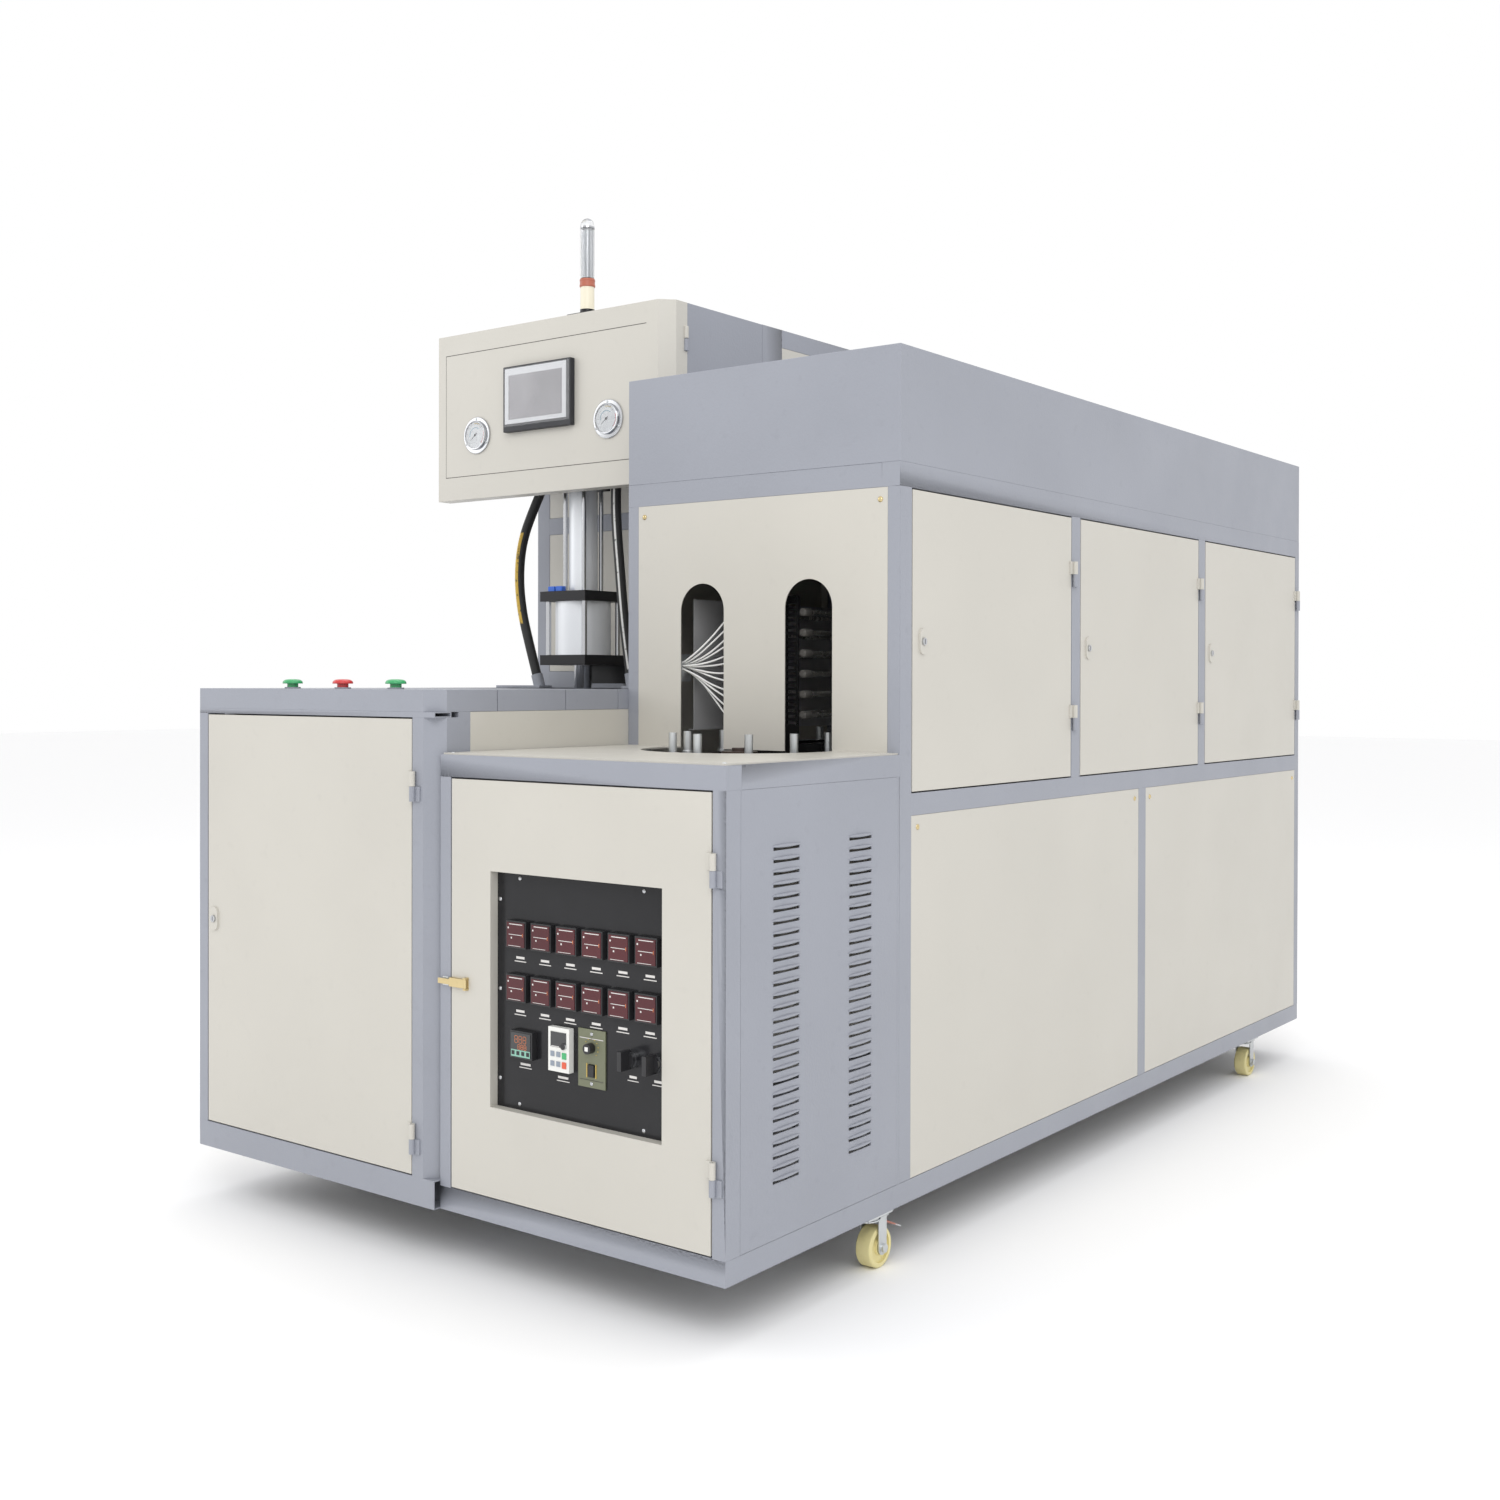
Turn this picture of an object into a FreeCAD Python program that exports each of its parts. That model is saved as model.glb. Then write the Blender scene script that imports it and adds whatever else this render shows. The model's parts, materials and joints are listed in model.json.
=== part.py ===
import FreeCAD, Part

import math
import os
from types import SimpleNamespace

import Sketcher

# Two-stage bottle blowing machine: the blowing host on levelling feet, and beside it the
# preform heater on casters. Millimetres. Z is up from the floor, Y runs from the operator's
# side to the back, X to the operator's right. The origin is the middle of the floor area.

doc = FreeCAD.newDocument("BlowMouldingMachine")
sheet = doc.addObject("Spreadsheet::Sheet", "Sizes")

sizes = {
    # the two units
    "host_width": 711,
    "heater_width": 658,
    "unit_gap": 0.5,
    "host_depth": 1815,
    "heater_depth": 2660,
    "front_step": 14.5,
    "caster_height": 105,
    "host_height": 944,
    "cabinet_height": 1776,
    "heater_height": 1578,
    # tube, sheet and door stock
    "tube": 40,
    "tube_wall": 2,
    "sheet_wall": 2,
    "pan_depth": 20,
    "door_gap": 3,
    "panel_gap": 0.4,
    "narrow_post": 27,
    # hinges and locks
    "hinge_out": 6,
    "hinge_offset": 8,
    "hinge_radius": 5.5,
    "hinge_length": 55,
    "hinge_split": 0.4,
    "pin_radius": 3,
    "pin_play": 0.05,
    "leaf_wall": 3,
    "oven_hinge_low": 883,
    "oven_hinge_high": 1193,
    "control_hinge_low": 170,
    "control_hinge_high": 660,
    "host_hinge_low": 122,
    "host_hinge_high": 767,
    "lock_inset": 37,
    "lock_width": 24,
    "lock_height": 48,
    "lock_proud": 4,
    "lock_insert_radius": 7,
    "lock_insert_proud": 7,
    "cam_length": 40,
    "cam_width": 12,
    "cam_wall": 2,
    "oven_lock_height": 1035,
    "host_lock_height": 472,
    # heater: low cabinet, oven and their frame
    "oven_front": 515,
    "oven_post": 40,
    "side_strip": 38,
    "panel_stop": 8,
    "table_height": 829.5,
    "table_sheet": 3,
    "table_inset": 4,
    "bottom_rail": 42,
    "mid_rail_low": 713,
    "mid_rail_high": 754,
    "top_rail_low": 1318,
    "hood_low": 1363,
    "upper_post_a": 1213,
    "upper_post_b": 1922,
    "upper_post_width": 41,
    "lower_post": 1564,
    "rear_post": 29,
    "arch_left": 194.5,
    "arch_right": 453,
    "arch_width": 110,
    "arch_spring": 1100,
    "opening_radius": 190,
    "opening_centre": 470,
    # louvres
    "louvre_first": 134,
    "louvre_pitch": 20.3,
    "louvre_slot": 5,
    "louvre_column_a": 126,
    "louvre_column_b": 350,
    "louvre_length_a": 74,
    "louvre_length_b": 71,
    # control door and its panel
    "window_left": 129,
    "window_right": 526,
    "window_low": 205,
    "window_high": 623,
    "panel_recess": 18,
    "panel_margin": 14,
    "panel_wall": 3,
    "gauge_case": 48,
    "gauge_proud": 12,
    "gauge_body": 60,
    "gauge_pitch": 60,
    "gauge_first": 162,
    "gauge_row_low": 397,
    "gauge_row_high": 491,
    "meter_left": 172,
    "meter_low": 299,
    "meter_width": 54,
    "meter_height": 48,
    "keypad_left": 265,
    "keypad_low": 289,
    "keypad_width": 49,
    "keypad_height": 76,
    "speed_left": 327,
    "speed_low": 270,
    "speed_width": 62,
    "speed_height": 99,
    "speed_proud": 3,
    "speed_knob_radius": 9,
    "speed_knob_length": 13,
    "speed_knob_height": 338,
    "rocker_width": 14,
    "rocker_height": 20,
    "rocker_centre": 299,
    "rocker_frame": 3,
    "rocker_play": 1,
    "rocker_depth": 6,
    "rocker_pin": 1.5,
    "rocker_pin_proud": 0.2,
    "selector_first": 449,
    "selector_pitch": 54,
    "selector_height": 333,
    "selector_radius": 16,
    "selector_base": 10,
    "selector_proud": 36,
    "grip_width": 9,
    "selector_grip": 20,
    "selector_shaft": 5,
    "knob_shaft": 15,
    "running_gap": 0.3,
    # toggle latch
    "latch_height": 417,
    "latch_lever": 44,
    "latch_width": 16,
    "latch_hook": 26,
    "latch_wall": 3,
    "latch_keeper": 18,
    "latch_pin": 2,
    # conveyor
    "conveyor_centre": 324,
    "conveyor_radius": 129,
    "conveyor_front": 470,
    "conveyor_back": 2400,
    "chain_width": 20,
    "chain_height": 12,
    "chain_level": 806,
    "chain_play": 1,
    "holder_radius": 8,
    "holder_height": 44,
    "holder_foot_radius": 11,
    "holder_foot": 6,
    "holder_pitch": 114.3,
    "sprocket_wall": 10,
    "rail_wall": 3,
    "rail_width": 20,
    "shaft_radius": 15,
    "bearing_radius": 35,
    "bearing_height": 30,
    "conveyor_beam_height": 40,
    "motor_radius": 50,
    "motor_length": 180,
    # lamp racks
    "rack_left": 248,
    "rack_right": 398,
    "rack_low": 863,
    "rack_high": 1127,
    "rack_wall": 3,
    "rack_width": 32,
    "rack_first": 560,
    "rack_last": 2590,
    "slot_first": 14,
    "slot_pitch": 12,
    "slot_height": 6,
    "slot_width": 20,
    "rack_rail": 20,
    "clip_left": 112,
    "clip_low": 960,
    "clip_width": 20,
    "clip_depth": 40,
    "clip_height": 55,
    "lamp_first": 32,
    "lamp_pitch": 40,
    "lamp_radius": 5,
    "lamp_end_radius": 8,
    "lamp_end_length": 22,
    "reflector_wall": 1.5,
    "reflector_lip": 14,
    # casters
    "wheel_radius": 37.5,
    "wheel_width": 32,
    "wheel_inset": 32,
    "wheel_edge": 3,
    "axle_radius": 4,
    "caster_trail": 25,
    "caster_front": 455,
    "caster_back": 2310,
    "caster_plate": 80,
    "caster_plate_wall": 3,
    "caster_plate_length": 64,
    "race_radius": 24,
    "race_height": 7,
    "fork_wall": 2.5,
    "fork_gap": 2,
    "fork_leg": 40,
    "fork_foot": 13,
    "axle_nut": 6,
    "axle_nut_radius": 8,
    "wheel_hub": 14,
    "wheel_rim": 9,
    "wheel_dish": 5,
    "pedal_start": 26,
    "pedal_drop": 5,
    "pedal_length": 72,
    "pedal_width": 34,
    "pedal_wall": 2.5,
    # host base
    "rail": 41,
    "host_door_left": 27,
    "host_door_right": 650,
    "host_door_low": 52,
    "host_door_high": 893,
    "corner_post": 59,
    "corner_chamfer": 30,
    "post_strip": 88,
    "cover_seam_a": 144,
    "cover_seam_b": 330,
    "cover_seam_c": 485,
    "cover_end": 513,
    "cover_gap": 2,
    "opening_back": 976,
    "panel_depth": 18,
    "cross_rail": 1330,
    "host_lock": 52,
    "head_wall": 3,
    "clamp_cap": 15,
    "upper_post": 76,
    "foot_radius": 30,
    "foot_pad": 14,
    "stud_radius": 8,
    "nut_radius": 13,
    "nut_height": 12,
    "foot_inset": 30,
    "foot_front": 640,
    "foot_back": 1740,
    # push buttons on the console
    "button_first": 207,
    "button_pitch": 156.5,
    "button_depth": 60,
    "button_radius": 20,
    "button_dome": 9,
    "button_stem": 11,
    "button_stem_length": 24,
    "button_lift": 7,
    "collar_radius": 16,
    "collar_height": 3,
    # head
    "head_low": 1450,
    "lid_low": 1386,
    "lid_front": 640,
    "lid_depth": 66,
    "lid_chamfer": 28,
    "lid_return": 38,
    "screen_left": 232,
    "screen_low": 1529,
    "screen_width": 210,
    "screen_height": 149,
    "screen_proud": 15,
    "screen_body": 48,
    "screen_lip": 8,
    "dial_left": 133,
    "dial_right": 543,
    "dial_height": 1533,
    "dial_flange": 42.5,
    "dial_flange_wall": 4,
    "dial_rim": 33,
    "dial_rim_height": 10,
    "dial_body": 30,
    "dial_body_depth": 34,
    # cylinders over the mould
    "axis_x": 358,
    "axis_y": 759,
    "plate_side": 140,
    "seal_plate_low": 997,
    "seal_plate_wall": 23,
    "seal_plate_high": 1143,
    "barrel_radius": 64,
    "barrel_bore": 56,
    "seal_rod_radius": 20,
    "seal_rod_low": 880,
    "blow_bore": 11,
    "seal_piston": 30,
    "tie_radius": 6,
    "tie_pitch": 112,
    "stretch_radius": 33,
    "stretch_bore": 25,
    "stretch_high": 1400,
    "stretch_cap": 30,
    "stretch_tie_radius": 5,
    "stretch_tie_pitch": 58,
    "stretch_rod_radius": 6,
    "stretch_rod_low": 900,
    "stretch_piston": 20,
    "bore_play": 0.06,
    "arm_width": 140,
    "arm_low": 955,
    # clamp
    "platen_width": 360,
    "platen_low": 500,
    "platen_high": 880,
    "platen_wall": 60,
    "platen_gap": 140,
    "bar_radius": 20,
    "bar_inset": 45,
    "bulkhead_wall": 40,
    "bulkhead_front": 330,
    "bulkhead_back": 1240,
    "ram_radius": 25,
    "clamp_barrel_radius": 60,
    "clamp_barrel_bore": 50,
    "clamp_barrel_length": 200,
    "clamp_piston": 20,
    # air hoses
    "hose_radius": 11.5,
    "ferrule_radius": 14,
    "ferrule_length": 42,
    "hose_nut": 32,
    "bracket_wall": 6,
    "bracket_width": 44,
    # signal lamp
    "signal_x": 450,
    "signal_y": 672,
    "signal_plate": 60,
    "signal_plate_depth": 40,
    "signal_plate_wall": 5,
    "signal_radius": 16,
    "signal_tube": 58,
    "signal_ring_radius": 17.5,
    "signal_ring": 18,
    "signal_lens": 112,
    "signal_cap": 24,
    # lamp wires
    "wire_radius": 1.8,
}


class Size:
    """A number kept together with the spreadsheet formula that gives it."""

    def __init__(self, value, text):
        self.value = value
        self.text = text

    def __add__(self, other):
        return combine(self, other, "+", self.value + plain(other))

    def __sub__(self, other):
        return combine(self, other, "-", self.value - plain(other))

    def __mul__(self, other):
        return combine(self, other, "*", self.value * plain(other))

    def __truediv__(self, other):
        return combine(self, other, "/", self.value / plain(other))

    def __neg__(self):
        return Size(-self.value, f"(-{self.text})")

    def __radd__(self, other):
        return combine(other, self, "+", other + self.value)

    def __rsub__(self, other):
        return combine(other, self, "-", other - self.value)


def plain(item):
    return item.value if isinstance(item, Size) else item


def words(item):
    return item.text if isinstance(item, Size) else repr(item)


def combine(first, second, sign, value):
    return Size(value, f"({words(first)} {sign} {words(second)})")


s = SimpleNamespace()
for row, (name, value) in enumerate(sizes.items(), 1):
    sheet.set(f"A{row}", name)
    sheet.set(f"B{row}", str(value))
    sheet.setAlias(f"B{row}", name)
    setattr(s, name, Size(value, f"Sizes.{name}"))
doc.recompute()

# Planes that the pieces are placed from.
hinge_reach = s.hinge_out + s.hinge_radius
width_all = s.host_width + s.unit_gap + s.heater_width + hinge_reach
depth_all = hinge_reach + s.front_step + s.heater_depth
right = width_all / 2 - hinge_reach
left = right - s.heater_width
host_right = left - s.unit_gap
host_left = host_right - s.host_width
host_front = hinge_reach - depth_all / 2
front = host_front + s.front_step
back = front + s.heater_depth
host_back = host_front + s.host_depth
under = s.caster_height
oven = front + s.oven_front
door_left = left + s.narrow_post
door_right = right - s.narrow_post
mould_x = host_left + s.axis_x
mould_y = host_front + s.front_step + s.axis_y
conveyor_x = left + s.conveyor_centre

axes = (FreeCAD.Vector(1, 0, 0), FreeCAD.Vector(0, 1, 0), FreeCAD.Vector(0, 0, 1))
nodes = []


def bind(item, name, size):
    item.setExpression(name, words(size))


def place(item, x, y, z, rotation=FreeCAD.Rotation()):
    item.Placement = FreeCAD.Placement(FreeCAD.Vector(), rotation)
    for name, size in zip("xyz", (x, y, z)):
        bind(item, f"Placement.Base.{name}", size)
    return item


def block(x, y, z, dx, dy, dz):
    item = doc.addObject("Part::Box", "Block")
    for name, size in (("Length", dx), ("Width", dy), ("Height", dz)):
        bind(item, name, size)
    return place(item, x, y, z)


def rod(axis, x, y, z, radius, length):
    """Cylinder that starts at the point and runs along the axis, 0 for X, 1 for Y, 2 for Z."""
    item = doc.addObject("Part::Cylinder", "Rod")
    bind(item, "Radius", radius)
    bind(item, "Height", length)
    return place(item, x, y, z, FreeCAD.Rotation(axes[2], axes[axis]))


def cut(base, *tools):
    for tool in tools:
        item = doc.addObject("Part::Cut", "Cut")
        item.Base = base
        item.Tool = tool
        base = item
    return base


def fuse(*pieces):
    item = doc.addObject("Part::MultiFuse", "Joined")
    item.Shapes = list(pieces)
    return item


def compound(pieces):
    item = doc.addObject("Part::Compound", "Group")
    item.Links = list(pieces)
    return item


def node(label, *pieces):
    """Gives a sub-part its name; several pieces stay separate solids."""
    item = compound(pieces) if len(pieces) > 1 else pieces[0]
    item.Label = label
    nodes.append(item)
    return item


def pipe(axis, x, y, z, radius, bore, length):
    return cut(rod(axis, x, y, z, radius, length), rod(axis, x, y, z, bore, length))


def shrink(low, size, wall, keep):
    """Corner and size of a box made smaller by a wall on every side but along one axis."""
    inner_low = [v if i == keep else v + wall for i, v in enumerate(low)]
    inner_size = [v if i == keep else v - wall * 2 for i, v in enumerate(size)]
    return inner_low, inner_size


def tube(axis, x, y, z, dx, dy, dz):
    """Square tube, open along the axis."""
    low, size = shrink([x, y, z], [dx, dy, dz], s.tube_wall, axis)
    return cut(block(x, y, z, dx, dy, dz), block(*low, *size))


def pan(axis, side, x, y, z, dx, dy, dz):
    """Sheet folded back on four edges; its face looks along the axis, up or down it."""
    low, size = shrink([x, y, z], [dx, dy, dz], s.sheet_wall, axis)
    size[axis] = size[axis] - s.sheet_wall
    if side < 0:
        low[axis] = low[axis] + s.sheet_wall
    return cut(block(x, y, z, dx, dy, dz), block(*low, *size))


def drawing(body, plane, points):
    """Closed outline of straight lines, each corner tied to the sheet."""
    origin = next(item for item in body.Origin.OriginFeatures if item.Role == plane)
    sketch = body.newObject("Sketcher::SketchObject", "Outline")
    sketch.AttachmentSupport = [(origin, "")]
    sketch.MapMode = "FlatFace"
    corners = [FreeCAD.Vector(plain(x), plain(y), 0) for x, y in points]
    count = len(corners)
    for i in range(count):
        sketch.addGeometry(Part.LineSegment(corners[i], corners[(i + 1) % count]), False)
    for i in range(count):
        sketch.addConstraint(Sketcher.Constraint("Coincident", i, 2, (i + 1) % count, 1))
    for i, point in enumerate(points):
        for kind, size in zip(("DistanceX", "DistanceY"), point):
            pin = Sketcher.Constraint(kind, -1, 1, i, 1, float(plain(size)))
            number = sketch.addConstraint(pin)
            if isinstance(size, Size):
                sketch.setExpression(f"Constraints[{number}]", words(size))
    return sketch


def prism(x, y, z, points, height):
    """Outline in plan, drawn from the point and padded upwards."""
    body = doc.addObject("PartDesign::Body", "Prism")
    pad = body.newObject("PartDesign::Pad", "Pad")
    pad.Profile = drawing(body, "XY_Plane", points)
    bind(pad, "Length", height)
    return place(body, x, y, z)


def turned(axis, x, y, z, points):
    """Half section given as radius and length, turned about the axis."""
    body = doc.addObject("PartDesign::Body", "Turned")
    spin = body.newObject("PartDesign::Revolution", "Spin")
    sketch = drawing(body, "XZ_Plane", points)
    spin.Profile = sketch
    spin.ReferenceAxis = (sketch, ["V_Axis"])
    spin.Angle = 360
    return place(body, x, y, z, FreeCAD.Rotation(axes[2], axis))


def hinge(face, plane, edge, z):
    """Lift-off hinge: the door's upper half and the frame's lower half with its pin."""
    half = s.hinge_length / 2
    low = z - half
    split = s.hinge_split / 2
    if face == "side":
        x = plane + s.hinge_out
        y = edge + s.hinge_offset
        door_leaf = block(plane, edge - s.hinge_offset, z + split,
                          s.leaf_wall, s.hinge_offset * 2, half - split)
        frame_leaf = block(plane, y, low, s.leaf_wall, s.hinge_offset * 2, half - split)
    else:
        x = edge + s.hinge_offset
        y = plane - s.hinge_out
        door_leaf = block(edge - s.hinge_offset, plane - s.leaf_wall, z + split,
                          s.hinge_offset * 2, s.leaf_wall, half - split)
        frame_leaf = block(x, plane - s.leaf_wall, low,
                           s.hinge_offset * 2, s.leaf_wall, half - split)
    bore = s.pin_radius + s.pin_play
    door_half = fuse(pipe(2, x, y, z + split, s.hinge_radius, bore, half - split), door_leaf)
    frame_half = fuse(rod(2, x, y, low, s.hinge_radius, half - split),
                      rod(2, x, y, low, s.pin_radius, s.hinge_length - s.sheet_wall),
                      frame_leaf)
    return door_half, frame_half


def lock_plate(axis, x, y, z):
    """Oval plate standing on a door's face, with the hole of the key barrel."""
    radius = s.lock_width / 2
    rise = (s.lock_height - s.lock_width) / 2
    if axis == 0:
        middle = block(x, y - radius, z - rise, s.lock_proud, s.lock_width, rise * 2)
    else:
        middle = block(x - radius, y, z - rise, s.lock_width, s.lock_proud, rise * 2)
    ends = [rod(axis, x, y, z + rise * sign, radius, s.lock_proud) for sign in (-1, 1)]
    hole = rod(axis, x, y, z, s.lock_insert_radius + s.running_gap, s.lock_proud)
    return cut(fuse(middle, *ends), hole)


def lock_depth(post):
    """From a door's face to the far side of its cam, which turns behind the post."""
    return post + s.running_gap + s.cam_wall


def side_lock(label, x, y, z):
    """Key barrel of a side door, with the cam that turns behind the post."""
    depth = lock_depth(s.tube)
    start = x - depth
    barrel = rod(0, start, y, z, s.lock_insert_radius, depth + s.lock_insert_proud)
    cam = block(start, y - s.cam_width / 2, z, s.cam_wall, s.cam_width, s.cam_length)
    node(label, fuse(barrel, cam))


def front_lock(label, x, y, z):
    """Key barrel of the host's door, with the cam that turns behind the post."""
    depth = lock_depth(s.rail)
    barrel = rod(1, x, y - s.lock_insert_proud, z,
                 s.lock_insert_radius, depth + s.lock_insert_proud)
    cam = block(x - s.cam_width / 2, y + depth - s.cam_wall, z,
                s.cam_width, s.cam_wall, s.cam_length)
    node(label, fuse(barrel, cam))


# Heater.

door_low = under + s.mid_rail_high + s.door_gap
door_height = s.top_rail_low - s.mid_rail_high - s.door_gap * 2
door_bays = (
    (s.oven_front + s.oven_post, s.upper_post_a),
    (s.upper_post_a + s.upper_post_width, s.upper_post_b),
    (s.upper_post_b + s.upper_post_width, s.heater_depth - s.rear_post),
)
lower_bays = (
    (s.oven_front + s.oven_post, s.lower_post),
    (s.lower_post + s.tube, s.heater_depth - s.rear_post),
)


def door_edge(bay):
    """Hinge edge of an oven door."""
    return front + bay[1] - s.door_gap


def heater_side_tubes(x, post_x):
    """Posts and rails of one side."""
    rail_start = s.oven_front + s.oven_post
    rail_length = s.heater_depth - rail_start - s.rear_post
    mid_height = s.mid_rail_high - s.mid_rail_low
    top_height = s.hood_low - s.top_rail_low
    post_height = s.table_height - s.table_sheet - s.tube - s.bottom_rail
    upper_height = s.top_rail_low - s.mid_rail_high
    long_post = s.top_rail_low - s.bottom_rail
    yield tube(1, x, front + s.tube, under, s.tube, s.heater_depth - s.tube * 2, s.bottom_rail)
    yield tube(2, post_x, front, under + s.bottom_rail, s.narrow_post, s.side_strip, post_height)
    yield tube(1, x, front + s.tube, under + s.bottom_rail + post_height,
               s.tube, s.oven_front - s.tube, s.tube)
    yield tube(2, post_x, oven, under + s.bottom_rail, s.narrow_post, s.oven_post, long_post)
    yield block(x, oven - s.panel_stop, under + s.bottom_rail,
                s.tube, s.panel_stop, post_height)
    yield tube(1, x, front + rail_start, under + s.mid_rail_low, s.tube, rail_length, mid_height)
    yield tube(1, x, oven, under + s.top_rail_low,
               s.tube, s.heater_depth - s.oven_front, top_height)
    for start in (s.upper_post_a, s.upper_post_b):
        yield tube(2, x, front + start, under + s.mid_rail_high,
                   s.tube, s.upper_post_width, upper_height)
    yield tube(2, x, front + s.lower_post, under + s.bottom_rail,
               s.tube, s.tube, s.mid_rail_low - s.bottom_rail)
    yield tube(2, x, back - s.rear_post, under + s.bottom_rail, s.tube, s.rear_post, long_post)


def conveyor_beams():
    """Cross rails under the table that carry the conveyor."""
    low = under + s.chain_level - s.bearing_height - s.conveyor_beam_height
    for y in (s.conveyor_front, s.lower_post, s.conveyor_back):
        yield tube(0, left + s.tube, front + y - s.tube / 2, low,
                   s.heater_width - s.tube * 2, s.tube, s.conveyor_beam_height)


def caster_places():
    """Name, swivel axis and side of each caster."""
    for row, y in (("front", s.caster_front), ("rear", s.caster_back)):
        yield f"left_{row}", left + s.wheel_inset, front + y
        yield f"right_{row}", right - s.wheel_inset, front + y


def caster_plates():
    """Top plates and ball races, bolted under the bottom rails."""
    race_low = under - s.caster_plate_wall - s.race_height
    for _, x, y in caster_places():
        yield block(x - s.wheel_inset, y - s.caster_plate / 2, under - s.caster_plate_wall,
                    s.caster_plate_length, s.caster_plate, s.caster_plate_wall)
        yield rod(2, x, y, race_low, s.race_radius, s.race_height)


def heater_frame():
    inner = s.heater_width - s.tube * 2
    cross = s.heater_width
    bar = s.tube
    pieces = list(heater_side_tubes(right - bar, right - s.narrow_post))
    pieces += heater_side_tubes(left, left)
    table_rail = under + s.table_height - s.table_sheet - bar
    top_height = s.hood_low - s.top_rail_low
    mid_height = s.mid_rail_high - s.mid_rail_low
    for y in (front, back - bar):
        pieces.append(tube(0, left, y, under, cross, bar, s.bottom_rail))
    pieces.append(tube(0, left, front, table_rail, cross, bar, bar))
    pieces.append(tube(0, left + bar, oven, under + s.top_rail_low, inner, bar, top_height))
    pieces.append(tube(0, left + bar, back - bar, under + s.top_rail_low,
                       inner, bar, top_height))
    pieces.append(tube(0, left + bar, back - s.rear_post, under + s.mid_rail_low,
                       inner, s.rear_post, mid_height))
    pieces += conveyor_beams()
    for z in (s.oven_hinge_low, s.oven_hinge_high):
        for bay in door_bays:
            pieces.append(hinge("side", right, door_edge(bay), under + z)[1])
    for z in (s.control_hinge_low, s.control_hinge_high):
        pieces.append(hinge("front", front, door_right - s.door_gap, under + z)[1])
    pieces.append(block(door_left - s.latch_keeper, front - s.leaf_wall,
                        under + s.latch_height - s.latch_width / 2,
                        s.latch_keeper - s.door_gap, s.leaf_wall, s.latch_width))
    pieces += caster_plates()
    node("heater_frame", *pieces)


def heater_hood():
    height = s.heater_height - s.hood_low
    low = under + s.hood_low
    outer = block(left, oven, low, s.heater_width, s.heater_depth - s.oven_front, height)
    wall = s.sheet_wall
    inner = block(left + wall, oven + wall, low,
                  s.heater_width - wall * 2, s.heater_depth - s.oven_front - wall * 2,
                  height - wall)
    node("heater_hood", cut(outer, inner))


def table_top():
    """Sheet over the low cabinet, with the round opening that the conveyor turns in."""
    inset = s.table_inset
    y = front + inset
    low = under + s.table_height - s.table_sheet
    plate = block(left + inset, y, low,
                  s.heater_width - inset * 2, s.oven_front - inset, s.table_sheet)
    opening = rod(2, conveyor_x, front + s.opening_centre, low,
                  s.opening_radius, s.table_sheet)
    node("table_top", cut(plate, opening))


def oven_front_panel():
    low = under + s.table_height - s.table_sheet
    gap = s.panel_gap
    width = s.heater_width - (s.narrow_post + gap) * 2
    plate = block(left + s.narrow_post + gap, oven, low,
                  width, s.sheet_wall, s.top_rail_low - s.table_height + s.table_sheet - gap)
    tools = []
    for centre in (s.arch_left, s.arch_right):
        x = left + centre
        tools.append(block(x - s.arch_width / 2, oven, low,
                           s.arch_width, s.sheet_wall, under + s.arch_spring - low))
        tools.append(rod(1, x, oven, under + s.arch_spring, s.arch_width / 2, s.sheet_wall))
    node("oven_front_panel", cut(plate, *tools))


def side_pan(side, bay, low, high):
    gap = s.panel_gap
    x = right - s.pan_depth if side > 0 else left
    return pan(0, side, x, front + bay[0] + gap, under + low + gap,
               s.pan_depth, bay[1] - bay[0] - gap * 2, high - low - gap * 2)


def heater_panels():
    """Fixed panels: low ones on both sides, plain high ones on the left, and the back."""
    pieces = [side_pan(side, bay, s.bottom_rail, s.mid_rail_low)
              for side in (-1, 1) for bay in lower_bays]
    pieces += [side_pan(-1, bay, s.mid_rail_high, s.top_rail_low) for bay in door_bays]
    gap = s.panel_gap
    for low, high in ((s.bottom_rail, s.mid_rail_low), (s.mid_rail_high, s.top_rail_low)):
        pieces.append(pan(1, 1, left + s.tube + gap, back - s.pan_depth, under + low + gap,
                          s.heater_width - (s.tube + gap) * 2, s.pan_depth,
                          high - low - gap * 2))
    node("heater_panels", *pieces)


def louvre_panels():
    """Sheets on the sides of the low cabinet; the right one has two columns of slots."""
    gap = s.panel_gap
    low = under + s.bottom_rail + gap
    length = s.oven_front - s.panel_stop - s.side_strip - gap * 2
    height = s.table_height - s.table_sheet - s.tube - s.bottom_rail - gap * 2
    y = front + s.side_strip + gap
    plain_panel = block(left, y, low, s.sheet_wall, length, height)
    panel = block(right - s.sheet_wall, y, low, s.sheet_wall, length, height)
    slots = []
    for column, reach in ((s.louvre_column_a, s.louvre_length_a),
                          (s.louvre_column_b, s.louvre_length_b)):
        for i in range(louvre_count):
            slots.append(block(right - s.sheet_wall, front + column,
                               under + s.louvre_first + s.louvre_pitch * i,
                               s.sheet_wall, reach, s.louvre_slot))
    node("louvre_panels", cut(panel, compound(slots)), plain_panel)


louvre_count = 28


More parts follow.
